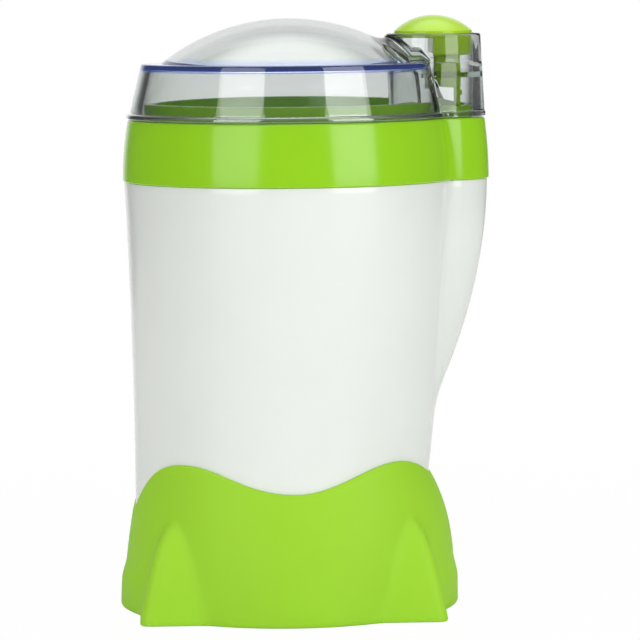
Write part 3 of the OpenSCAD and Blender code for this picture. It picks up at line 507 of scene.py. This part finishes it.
# Rod spring: one coil of zinc plated wire around the push rod. It stands on the pocket's floor in the
# collar and is pressed together by the rod's head.
spring_low, spring_high = (corner.z for corner in reach("rod_spring"))
spring_r = 5
spring_turns = 5
spring_steps = 32 * spring_turns
wire_r = 0.5
wire_sides = 12
wire = bmesh.new()
wire_at = Matrix.Translation((lobe_c + spring_r, 0, spring_low + wire_r))
upright = Matrix.Rotation(math.pi / 2, 4, "X")
wire_end = bmesh.ops.create_circle(wire, segments=wire_sides, radius=wire_r, matrix=wire_at @ upright)
climb = Vector((0, 0, (spring_high - spring_low - 2 * wire_r) / spring_steps))
bmesh.ops.spin(
    wire,
    geom=wire_end["verts"] + list(wire.edges),
    cent=(lobe_c, 0, 0),
    axis=(0, 0, 1),
    dvec=climb,
    angle=spring_turns * math.tau,
    steps=spring_steps,
)
bmesh.ops.holes_fill(wire, edges=[edge for edge in wire.edges if edge.is_boundary], sides=0)
spring = solid("spring_coil", wire)
dress(spring, zinc, "stand", "rod_spring")
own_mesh(spring)

# Motor: laminated cores of stacked sheet, copper windings under enamel, bronze bushes and brush
# holders, carbon brushes and a fan of uncoloured plastic. It hangs on its mounts under the collar.
sheet_pitch = 0.0009
stack, stack_shader, stack_place = surface("laminations", Metallic=0.7)
sheet_phase = stack_place.height() * (math.tau / sheet_pitch)
sheets = sheet_phase.add("ShaderNodeMath", {"operation": "SINE"}, {0: sheet_phase})
oiled = stack_place.noise(scale=160.0, detail=4.0)
oiled.mix((0.16, 0.16, 0.165), (0.30, 0.295, 0.29)).feed(stack_shader, "Base Color")
oiled.about(0.45, spread=0.2).feed(stack_shader, "Roughness")
sheets.bump(strength=0.5, distance=0.0002).feed(stack_shader, "Normal")
give(stack, "armature_core", "field_core")
copper = metal("copper", (0.50, 0.20, 0.08), (0.72, 0.34, 0.15), dull=0.34, mottle=700.0)
give(copper, "armature_winding", "field_coils", "commutator")
bronze = metal("bronze", (0.52, 0.38, 0.16), (0.68, 0.54, 0.27), dull=0.36, mottle=500.0)
give(bronze, "upper_bush", "lower_bush", "brush_holders")
give(moulded("carbon", (0.05, 0.05, 0.05), gloss=0.6, grain=2400.0), "carbon_brushes")
uncoloured = moulded("natural_plastic", (0.72, 0.68, 0.58), gloss=0.45, grain=1400.0)
give(uncoloured, "cooling_fan")
give(moulded("wire_jacket", (0.35, 0.18, 0.10), gloss=0.5, grain=2000.0), "lead_wires")

# Collar: a glossy green ring that caps the housing and follows the outline of the lid, with a deck
# around the bowl. Its fittings are a spigot that centres the lid, a pocket in the lobe for the push
# rod, posts for the motor's mounts and a hanger that the switch is screwed to.
collar_r = 50.55
collar_crown = 1.6
collar_edge = 0.8
collar_foot = 0.3
collar_lobe_r = 16.8
collar_lobe_crown = 1.15
collar_blend = 3.0
shoulder_z = reach("grinding_bowl")[1].z
shoulder_w = 5
spigot_z = reach("collar")[1].z
bowl_seat = 32.1
bowl_seat_z = shoulder_z - 1.6
bowl_hole = 30.1
deck_z = shoulder_z - 3.2
lip_r = 47.3
lip_wall = 2
lip_z = housing_top - 5
pocket_r = 9.75
pocket_z = shoulder_z - 12.4
pocket_floor = 3
rod_hole = 2.45
rod_boss_r = 11.85
rod_boss_z = shoulder_z + 3.6
lap = 1


def collar_at(a, z):
    """Outer radius of the collar's crowned face at angle a and height z."""
    up = max(0, min(1, (z - housing_top) / (shoulder_z - collar_edge - housing_top)))
    plain = collar_r - collar_crown * up * up
    lobe = collar_lobe_r - collar_lobe_crown * up * up
    return soft_max(ray(plain, 0, a), ray(lobe, lobe_c, a), collar_blend)


face_rule = 60


def collar_rule(a, r, z):
    """Points out at the rule's radius lie on the face; nearer ones keep their own radius."""
    a = gathered(a)
    if r > face_rule:
        return a, collar_at(a, z) - (rule_r - r), z
    return a, r, z


face_steps = 20
face_top = shoulder_z - collar_edge
face_h = face_top - housing_top - collar_foot
face = [(rule_r, housing_top + collar_foot + face_h * i / face_steps) for i in range(face_steps + 1)]
shoulder_steps = 5
for i in range(1, shoulder_steps + 1):
    turn = math.radians(90 * i / shoulder_steps)
    face.append((rule_r - collar_edge * (1 - math.cos(turn)), face_top + collar_edge * math.sin(turn)))
under = rounded(
    [
        (rule_r - shoulder_w, shoulder_z, 0),
        (bowl_seat, shoulder_z, 0.25),
        (bowl_seat, bowl_seat_z, 0),
        (bowl_hole, bowl_seat_z, 0),
        (bowl_hole, deck_z, 0),
        (lip_r - lip_wall, deck_z, 0.5),
        (lip_r - lip_wall, lip_z, 0.4),
        (lip_r, lip_z, 0.4),
        (lip_r, housing_top, 0),
        (rule_r - collar_foot, housing_top, 0),
    ],
    steps=3,
)
collar = solid("collar_ring", remould(spun(bmesh.new(), face + under, 360), collar_rule))


def on_lobe(name, outline, steps=96):
    """A round solid on the lobe's axis, from an outline that starts and ends on that axis."""
    return solid(name, spun(bmesh.new(), outline, steps, (lobe_c, 0), is_open=True))


hollow_r = lobe_r - housing_wall
hollow_z = housing_top - 10
lobe_hollow = [(0, hollow_z), (hollow_r, hollow_z), (hollow_r, deck_z), (0, deck_z)]
cut(collar, on_lobe("lobe_hollow", lobe_hollow))
rod_way_r = rod_boss_r - lap
rod_way_z = deck_z - lap
rod_way = [(0, rod_way_z), (rod_way_r, rod_way_z), (rod_way_r, spigot_z), (0, spigot_z)]
cut(collar, on_lobe("rod_cut", rod_way))

spigot_r = 43.8
spigot_wall = 2.5
spigot_gap = math.radians(21.2)
spigot_sunk = 0.6
spigot = [
    (spigot_r - spigot_wall, shoulder_z - spigot_sunk, 0),
    (spigot_r, shoulder_z - spigot_sunk, 0),
    (spigot_r, spigot_z, 0.4),
    (spigot_r - spigot_wall, spigot_z, 0.4),
]
spigot_sweep = math.tau - 2 * spigot_gap
fittings = spun(bmesh.new(), rounded(spigot, steps=3), 300, start=spigot_gap, sweep=spigot_sweep)
rod_boss = [
    (rod_hole, pocket_z - pocket_floor, 0),
    (rod_boss_r, pocket_z - pocket_floor, 0.4),
    (rod_boss_r, rod_boss_z, 0.4),
    (pocket_r, rod_boss_z, 0.4),
    (pocket_r, pocket_z, 0.3),
    (rod_hole, pocket_z, 0),
]
spun(fittings, rounded(rod_boss, steps=3), 120, (lobe_c, 0))
mounts_top = reach("motor_mounts")[1]
mount_r = 5
post_r = 3.5
post_hole = 1.7
post_c = (mounts_top.y - mount_r) / math.sin(math.radians(60))
post = [
    (post_hole, mounts_top.z, 0),
    (post_r, mounts_top.z, 0.3),
    (post_r, deck_z + lap, 0),
    (post_hole, deck_z + lap, 0),
]
for degrees in (60, 180, 300):
    spun(fittings, rounded(post, steps=2), 32, plan(degrees, post_c))
deep_lime = (0.295, 0.63, 0.016)
gloss_lime = moulded("lime_gloss", deep_lime, gloss=0.16, grain=700.0, Specular_IOR_Level=0.42)
dress(collar, gloss_lime, "stand", "collar")
dress(solid("collar_fittings", fittings), gloss_lime, "stand", "collar")


def block(bm, low, high, rounding):
    """Adds a box between two corners, with its edges rounded."""
    low, high = Vector(low), Vector(high)
    place = Matrix.Translation((low + high) / 2) @ Matrix.Diagonal((*(high - low), 1))
    corners = bmesh.ops.create_cube(bm, size=1, matrix=place)["verts"]
    edges = list(dict.fromkeys(edge for corner in corners for edge in corner.link_edges))
    bmesh.ops.bevel(bm, geom=edges, offset=rounding, affect="EDGES", segments=3, profile=0.5, material=-1)
    return bm


switch_low, switch_high = reach("microswitch")
hanger_t = 2.6
hanger_in = 1
hanger_top = pocket_z - 2
hanger_low = (switch_low.x - hanger_t, switch_low.y + hanger_in, reach("switch_terminals")[1].z)
hanger_high = (switch_low.x, switch_high.y - hanger_in, hanger_top)
hanger = solid("switch_hanger", block(bmesh.new(), hanger_low, hanger_high, 0.4))
screw_y = 4.75
drill_r = 1.2
drill_h = 9
drill_outline = [(0, -drill_h), (drill_r, -drill_h), (drill_r, drill_h), (0, drill_h)]
for y in (-screw_y, screw_y):
    drill = spun(bmesh.new(), drill_outline, 24, is_open=True)
    drill_at = Matrix.Translation((switch_low.x, y, middle("switch_screws", "z")))
    drill.transform(drill_at @ Matrix.Rotation(math.pi / 2, 4, "Y"))
    cut(hanger, solid("drill", drill))
dress(hanger, gloss_lime, "stand", "collar")

# Bowl, blade and spindle: the bowl is drawn from stainless sheet and spun bright, the blade is
# stamped, and a cap nut holds it on the spindle over a black plastic hub.
ring_pitch = 0.0011
rings_per_scale = 3
steel, steel_shader, steel_place = surface("bright_steel", Metallic=1.0)
centred = steel_place.add("ShaderNodeMapping", {}, {"Vector": steel_place, "Location": -spindle})
rings_kind = {"wave_type": "RINGS", "rings_direction": "Z"}
rings = {"Vector": centred, "Scale": 1 / ring_pitch / rings_per_scale, "Distortion": 1.5, "Detail": 3.0}
turned = centred.add("ShaderNodeTexWave", rings_kind, rings, 1)
stains = steel_place.noise(scale=120.0, detail=4.0)
stains.mix((0.64, 0.65, 0.66), (0.76, 0.76, 0.76)).feed(steel_shader, "Base Color")
stains.about(0.2, spread=0.14).feed(steel_shader, "Roughness")
turned.bump(strength=0.06, distance=0.00005).feed(steel_shader, "Normal")
give(steel, "grinding_bowl", "blade", "blade_nut", "motor_shaft")
black = moulded("black_plastic", (0.035, 0.035, 0.04), gloss=0.45, grain=1800.0)
give(black, "blade_hub")

# Switch and push rod: a black microswitch with bronze terminals, a red plunger and a sprung steel
# lever is screwed to the hanger. The rod of uncoloured plastic slides in its pocket and moves the lever.
give(black, "microswitch")
give(bronze, "switch_terminals")
give(steel, "switch_lever")
give(moulded("red_plastic", (0.55, 0.06, 0.05), gloss=0.4, grain=1800.0), "switch_plunger")
give(uncoloured, "push_rod")

# Push button: a glossy green cap with a domed head and a skirt on its outer half. An offset stem slides
# in the shelf's slot, its leg presses the rod, and a small catch keeps the button in the tower.
head_r = 11.85
head_z = 167.2
cap_z = 172.5
button_low, button_high = reach("push_button")
button_top = button_high.z
button_curve = 17
apron_r = 11.7
apron_half = math.radians(94.4)
apron_sunk = 0.4
stem_in = 0.2
stem_out = 7.6
stem_w = 9
stem_z = 157.2
leg_t = 2.3
leg_w = 6
catch_out = 0.7
catch_in = 0.1
catch_z = stem_z - 2.2
head_edge = math.asin(head_r / button_curve)
brim_start = 0.97
cap_steps = 22
cap = []
for i in range(cap_steps + 1):
    turn = head_edge * brim_start * i / cap_steps
    cap.append((button_curve * math.sin(turn), button_top - button_curve * (1 - math.cos(turn))))
brim = rounded(
    [
        (*cap[-1], 0),
        (head_r, button_top - button_curve * (1 - math.cos(head_edge)), 0.5),
        (head_r, cap_z, 0.3),
        (0, cap_z, 0),
    ]
)
button = spun(bmesh.new(), cap + brim[1:], 144, (lobe_c, 0), is_open=True)
apron_top = cap_z + apron_sunk
apron = rounded([(0, head_z, 0), (apron_r, head_z, 0.9), (apron_r, apron_top, 0), (0, apron_top, 0)])
spun(button, apron, 72, (lobe_c, 0), -apron_half, 2 * apron_half)
stem_low = (lobe_c + stem_in, -stem_w / 2, stem_z)
stem_high = (lobe_c + stem_out, stem_w / 2, head_z + lap)
leg_low = (lobe_c + stem_out - leg_t, -leg_w / 2, button_low.z)
leg_high = (lobe_c + stem_out, leg_w / 2, stem_z + lap)
catch_low = (lobe_c + stem_out - leg_t / 2, -leg_w / 2 + catch_in, catch_z)
catch_high = (lobe_c + stem_out + catch_out, leg_w / 2 - catch_in, catch_z + 2 * catch_out)
block(button, stem_low, stem_high, 0.7)
block(button, leg_low, leg_high, 0.4)
block(button, catch_low, catch_high, 0.3)
# Painted highlight in part: the cap's lime is lighter than the collar's to stand for the overhead light on
# its top, and it is also a yellower green.
lighter_lime_with_painted_highlight = (0.45, 0.73, 0.022)
button_lime_with_painted_highlight = moulded("lime_gloss_button", lighter_lime_with_painted_highlight, gloss=0.16, grain=700.0, Specular_IOR_Level=0.42)
dress(solid("button_cap", button), button_lime_with_painted_highlight, "button", "push_button")

# Lid: one clear, slightly smoky moulding. Its rim carries painted edge light, a blue tint and a faint blue
# glow. A dome rises from a flat rim over a leaning wall, a polished flange sits on the collar's shoulder,
# and the open tower at the side guides the button over its shelf. A hollow sweep, the saddle, leads from
# the dome to the tower.
lid_z = reach("lid")[0].z
dome_top = reach("lid")[1].z
rim_z = 165.4
rim_t = 2
lid_foot_r = 48.4
lid_wall = 3.2
rim_r = 44.55
flange_r = 49.4
flange_t = 1.7
flange_top = lid_z + flange_t
tower_flange = 0.3
flange_fade = 3
dome_r = 38.6
dome_t = 2.5
dome_h = dome_top - rim_z
dome_ball = (dome_r**2 + dome_h**2) / (2 * dome_h)
dome_z = dome_top - dome_ball
tower_foot_r = 15.65
tower_lean = 1.2
tower_top = 174.0
tower_bore = 12.2
tower_skin = 0.03
shelf_z = 160.6
shelf_t = 1.6
web_foot = 5.5
web_rim = 9.5
near_foot_r = 13.4
near_draft = 0.045
near_fall = 400
near_blend = 1.0
lid_crease = math.radians(25)


def tower_r(z):
    """Outer radius of the tower at height z."""
    return tower_foot_r - tower_lean * (z - lid_z) / (tower_top - lid_z)


def lid_r(z):
    """Outer radius of the lid's round wall at height z."""
    return lid_foot_r - (lid_foot_r - rim_r) * (z - lid_z) / (rim_z - lid_z)


def web_at(z):
    """How softly the round wall and the tower run together at height z."""
    return web_foot + (web_rim - web_foot) * max(0, min(1, (z - lid_z) / (rim_z - lid_z)))


def lid_outside(a, r, z):
    """Carries the round wall out around the tower, and leaves the dome as it is."""
    a = gathered(a)
    if r <= dome_r:
        return a, r, z
    round_r, tower_way = lid_r(z), ray(tower_r(z), lobe_c, a)
    joined = soft_max(round_r, tower_way, web_at(z))
    if r > round_r:
        on_tower = soft_step((tower_way - round_r) / flange_fade)
        return a, joined + (r - round_r) * (1 - on_tower * (1 - tower_flange / (flange_r - lid_foot_r))), z
    return a, dome_r + (joined - dome_r) * (r - dome_r) / (round_r - dome_r), z


def tower_near(a, z):
    """Distance from the spindle at angle a to the near side of the tower's wall."""
    r = near_foot_r + near_draft * max(0, z - lid_z)
    tangent = math.asin(r / lobe_c)
    off = min(abs(a), tangent)
    near = lobe_c * math.cos(off) - math.sqrt(max(0, r * r - (lobe_c * math.sin(off)) ** 2))
    return near + max(0, abs(a) - tangent) * near_fall


def lid_inside(a, r, z):
    """Draws the hollow in around the tower."""
    a = gathered(a)
    return a, soft_min(r, tower_near(a, z), near_blend), z


dome_steps = 40


def dome_arc(ball, radius):
    """Points of the dome from its edge at a radius to the middle."""
    edge = math.asin(radius / ball)
    turns = [edge * i / dome_steps for i in range(dome_steps, -1, -1)]
    return [(ball * math.sin(turn), dome_z + ball * math.cos(turn)) for turn in turns]


def slope(start, end, steps):
    """Points evenly along a straight wall, without its ends."""
    return [tuple(a + (b - a) * i / steps for a, b in zip(start, end)) for i in range(1, steps)]


lid_steps = 14
wall_low = (lid_r(flange_top), flange_top + 0.6)
wall_high = (lid_r(rim_z - 1), rim_z - 1)
outside = rounded(
    [
        (0, lid_z, 0),
        (flange_r, lid_z, 0.3),
        (flange_r, flange_top, 1.2),
        (lid_r(flange_top) + 0.02, flange_top, 0),
        *((r, z, 0) for r, z in slope(wall_low, wall_high, lid_steps)),
        (rim_r, rim_z, 0.6),
        (dome_r + 0.8, rim_z, 0),
    ]
)
outer = spun(bmesh.new(), outside + dome_arc(dome_ball, dome_r), 400, is_open=True)
lid = solid("lid_clear", remould(outer, lid_outside), lid_crease)
tower_outline = rounded(
    [
        (0, rim_z - 1, 0),
        (tower_r(rim_z) - tower_skin, rim_z - 1, 0),
        (tower_r(tower_top) - tower_skin, tower_top, 0.8),
        (0, tower_top, 0),
    ]
)
cut(lid, on_lobe("tower_solid", tower_outline, 192), "UNION")

saddle = 4.6
saddle_half = math.radians(82)
saddle_fade = math.radians(14)
saddle_least = 0.3
saddle_clear = 0.7
saddle_sunk = 0.4
saddle_in = 2
saddle_steps = 10


def lid_top(a, r):
    """Height of the dome or of the rim at a place that is given from the tower's middle."""
    away = math.hypot(lobe_c + r * math.cos(a), r * math.sin(a))
    return dome_z + math.sqrt(dome_ball**2 - away**2) if away < dome_r else rim_z


def saddle_rule(a, r, up):
    """Lays the saddle's hollow sweep on the dome and the rim, up to just below the tower's top."""
    wall = tower_r(rim_z + saddle / 2)
    tall = min(saddle, tower_top - saddle_clear - lid_top(a, wall))
    inward = soft_step((saddle_half - between(a, math.pi)) / saddle_fade)
    fade = saddle_least + (1 - saddle_least) * inward
    out = wall + (r - rule_r) * (fade if r > rule_r else 1)
    return a, out, lid_top(a, out) + up * tall * fade


saddle_outline = [(rule_r - saddle_in, -saddle_sunk), (rule_r + saddle, -saddle_sunk)]
for i in range(saddle_steps + 1):
    turn = math.radians(90 * i / saddle_steps)
    saddle_outline.append((rule_r + saddle * (1 - math.sin(turn)), 1 - math.cos(turn)))
saddle_outline.append((rule_r - saddle_in, 1))
saddle_bm = spun(bmesh.new(), saddle_outline, 120, start=math.pi - saddle_half, sweep=2 * saddle_half)
remould(saddle_bm, saddle_rule).transform(Matrix.Translation((lobe_c, 0, 0)))
cut(lid, solid("saddle", saddle_bm), "UNION")

run_out = 2
below_lid = lid_z - run_out
inner_top = rim_z - rim_t
inner_h = inner_top - lid_z + 1
inner_heights = [below_lid + inner_h * i / lid_steps for i in range(lid_steps + 1)]
inside = rounded(
    [
        (0, below_lid, 0),
        *((lid_r(z) - lid_wall, z, 0) for z in inner_heights),
        (lid_r(inner_top) - lid_wall, inner_top, 0.7),
        (dome_r - dome_t + 1.5, inner_top, 0),
    ]
)
hollow = spun(bmesh.new(), inside + dome_arc(dome_ball - dome_t, dome_r - dome_t), 400, is_open=True)
cut(lid, solid("lid_hollow", remould(hollow, lid_inside)))
mouth_r = tower_bore + 0.4
bore = [
    (0, below_lid),
    (tower_bore, below_lid),
    (tower_bore, tower_top - 0.5),
    (mouth_r, tower_top + 0.02),
    (mouth_r, tower_top + run_out),
    (0, tower_top + run_out),
]
cut(lid, on_lobe("tower_bore", bore, 192))
shelf_r = tower_bore + 0.3
shelf_top = shelf_z + shelf_t
shelf_outline = [(0, shelf_z), (shelf_r, shelf_z), (shelf_r, shelf_top), (0, shelf_top)]
shelf = solid("shelf", spun(bmesh.new(), shelf_outline, 96, (lobe_c, 0), -math.pi / 2, math.pi))
slot_gap = 0.35
slot_half = stem_w / 2 + slot_gap
slot_low = (lobe_c - run_out, -slot_half, shelf_z - run_out)
slot_high = (lobe_c + stem_out + slot_gap, slot_half, shelf_z + shelf_t + run_out)
cut(shelf, solid("slot", block(bmesh.new(), slot_low, slot_high, 0.6)))
cut(lid, shelf, "UNION")
lid.data.shade_smooth()
lid.data.set_sharp_from_angle(angle=lid_crease)

smoke_colour = (0.2, 0.31, 0.25, 1)
smoke_density = 65
# Painted edge light on the rim: a blue tint in the base colour and a faint blue emission glow.
painted_rim_tint = (0.55, 0.63, 1.0)
painted_rim_glow = (0.012, 0.022, 0.095)
clear_fixed = {"Transmission_Weight": 1.0, "IOR": 1.58, "Emission_Strength": 1.0, "Coat_IOR": 1.9}
clear, clear_shader, clear_place = surface("clear_plastic", **clear_fixed)
smears = clear_place.noise(scale=45.0, detail=4.0)
in_mm = {"Vector": clear_place, "Location": -spindle / MM, "Scale": (1 / MM, 1 / MM, 1 / MM)}
lid_spot = clear_place.add("ShaderNodeMapping", {}, in_mm)
lid_height = lid_spot.height()
lid_height.ramp(flange_top - 0.1, flange_top + 0.3, 1.0, 0.0).feed(clear_shader, "Coat Weight")
off_rim = (lid_height - (rim_z - rim_t / 2)) * (1 / (0.75 * rim_t))
near_rim = 1 - off_rim * off_rim
on_rim = near_rim.add("ShaderNodeClamp", {}, {"Value": near_rim})
from_tower = lid_spot.vector("DISTANCE", (lobe_c, 0, rim_z), "Value")
# The band that gets the rim's painted edge light: at the rim's height, away from the tower.
painted_rim_light = on_rim * from_tower.ramp(tower_foot_r, tower_foot_r + 3, 0.0, 1.0)
smeared = smears.mix((0.97, 0.98, 0.985), (1.0, 1.0, 1.0))
painted_rim_light.mix(smeared, painted_rim_tint).feed(clear_shader, "Base Color")
painted_rim_light.mix((0.0, 0.0, 0.0), painted_rim_glow).feed(clear_shader, "Emission Color")
(0.015 + 0.04 * smears**3).feed(clear_shader, "Roughness")
clear_place.noise(scale=60.0, detail=1.0).bump(strength=0.02, distance=0.0004).feed(clear_shader, "Normal")
smoke = clear.node_tree.nodes.new("ShaderNodeVolumeAbsorption")
smoke.inputs["Color"].default_value = smoke_colour
smoke.inputs["Density"].default_value = smoke_density
clear.node_tree.links.new(smoke.outputs[0], clear.node_tree.nodes["Material Output"].inputs["Volume"])
dress(lid, clear, "lid", "lid")

# Studio: a pale table before a white backdrop. Two tall softboxes stand in front on either side and
# make the bands on the collar and the lid. The room is dark at the sides and brighter above, with a
# soft glow overhead that lies on the dome, and the view is a long lens's.
floor_half = 0.8
floor_bm = bmesh.new()
bmesh.ops.create_grid(floor_bm, x_segments=1, y_segments=1, size=floor_half)
floor_mesh = bpy.data.meshes.new("floor")
floor_bm.to_mesh(floor_mesh)
floor_bm.free()
floor = bpy.data.objects.new("floor", floor_mesh)
bpy.context.scene.collection.objects.link(floor)


def ray_kinds(tree):
    """Whether a ray comes straight from the camera, and whether metal or glass sent it on."""
    kinds = tree.nodes.new("ShaderNodeLightPath").outputs
    camera_ray = Socket(tree, kinds["Is Camera Ray"])
    glossy_ray = Socket(tree, kinds["Is Glossy Ray"])
    sent_on = glossy_ray.math("MAXIMUM", glossy_ray, Socket(tree, kinds["Is Transmission Ray"]))
    return camera_ray, sent_on


def facing(place, way, wide, narrow):
    """How far a place lies within a soft cone about a way: 1 inside it and 0 outside."""
    along = place.vector("NORMALIZE").vector("DOT_PRODUCT", way, "Value")
    return along.ramp(math.cos(math.radians(wide)), math.cos(math.radians(narrow)), 0.0, 1.0, "SMOOTHSTEP")


backdrop_wide = 30
backdrop_narrow = 10
shadow_near = 0.1
shadow_far = 0.5
shadow_clean = 0.97
table, table_shader, table_spot = surface("table_white", Base_Color=(0.8, 0.8, 0.8, 1), Roughness=0.9)
camera_ray, sent_on = ray_kinds(table.node_tree)
lit = camera_ray.add("ShaderNodeEmission", {}, {"Color": (1, 1, 1, 1), "Strength": 1.0})
unlit = Socket(table.node_tree, table_shader.outputs[0])
from_spindle = table_spot.vector("DISTANCE", spindle, "Value")
clean = from_spindle.ramp(shadow_near, shadow_far, shadow_clean, 1.0, "SMOOTHSTEP")
white_to = camera_ray + sent_on * facing(table_spot, (0, 1, 0), backdrop_wide, backdrop_narrow)
table_look = white_to.add("ShaderNodeMixShader", {}, {0: clean * white_to, 1: unlit, 2: lit})
table.node_tree.links.new(table_look.output, table.node_tree.nodes["Material Output"].inputs["Surface"])
floor_mesh.materials.append(table)

room_low = 0.1
room_above = 0.45
glow_power = 1.9
glow_tilt = math.radians(75)
glow_way = (0, math.cos(glow_tilt), math.sin(glow_tilt))
up_way = (0, 0, 1)
world = bpy.data.worlds.new("studio")
bpy.context.scene.world = world
world.use_nodes = True
world_tree = world.node_tree
camera_ray, sent_on = ray_kinds(world_tree)
sky = camera_ray.add("ShaderNodeTexCoord", {}, {}, "Generated")
room_light = room_low + room_above * facing(sky, up_way, wide=80, narrow=45)
glow = glow_power * facing(sky, glow_way, wide=34, narrow=12)
level_sky = sky.vector("MULTIPLY", (1, 1, 0))
behind = facing(level_sky, (0, 1, 0), backdrop_wide, backdrop_narrow)
backdrop = behind * (1 - facing(sky, up_way, wide=68, narrow=40))
strength = room_light + glow + (1 - room_light - glow) * (camera_ray + sent_on * backdrop)
world_tree.links.new(strength.output, world_tree.nodes["Background"].inputs["Strength"])
world_tree.nodes["Background"].inputs["Color"].default_value = (1, 1, 1, 1)


def standing(degrees, away, up):
    """A place in the studio: turned from the front, away from the spindle and up from the table."""
    turn = math.radians(degrees)
    return spindle + Vector((away * math.sin(turn), -away * math.cos(turn), up))


lamp_aim = spindle + Vector((0, 0, 0.09))
softboxes = {
    "softbox_left": (-38.5, 0.9, 0.37, 0.55, 0.6, 2.9),
    "softbox_right": (43.5, 0.9, 0.37, 0.52, 0.6, 3.75),
}
for name, (degrees, away, up, width, tall, power) in softboxes.items():
    light = bpy.data.lights.new(name, "AREA")
    light.shape = "RECTANGLE"
    light.size = width
    light.size_y = tall
    light.energy = power
    lamp = bpy.data.objects.new(name, light)
    lamp.location = standing(degrees, away, up)
    lamp.rotation_euler = (lamp_aim - lamp.location).to_track_quat("-Z", "Y").to_euler()
    bpy.context.scene.collection.objects.link(lamp)

camera_turn = -2
camera_away = 1.1
camera_up = 0.19
camera_roll = math.radians(-0.488)
camera_aim = spindle + Vector((0.00906, 0, 0.08681))
lens = bpy.data.cameras.new("camera")
lens.lens = 203.4
lens.sensor_width = 36
camera = bpy.data.objects.new("camera", lens)
camera.location = standing(camera_turn, camera_away, camera_up)
look = (camera_aim - camera.location).to_track_quat("-Z", "Y").to_matrix()
camera.rotation_euler = (look @ Matrix.Rotation(camera_roll, 3, "Z")).to_euler()
bpy.context.scene.collection.objects.link(camera)
bpy.context.scene.camera = camera
bpy.context.scene.view_settings.view_transform = "Standard"
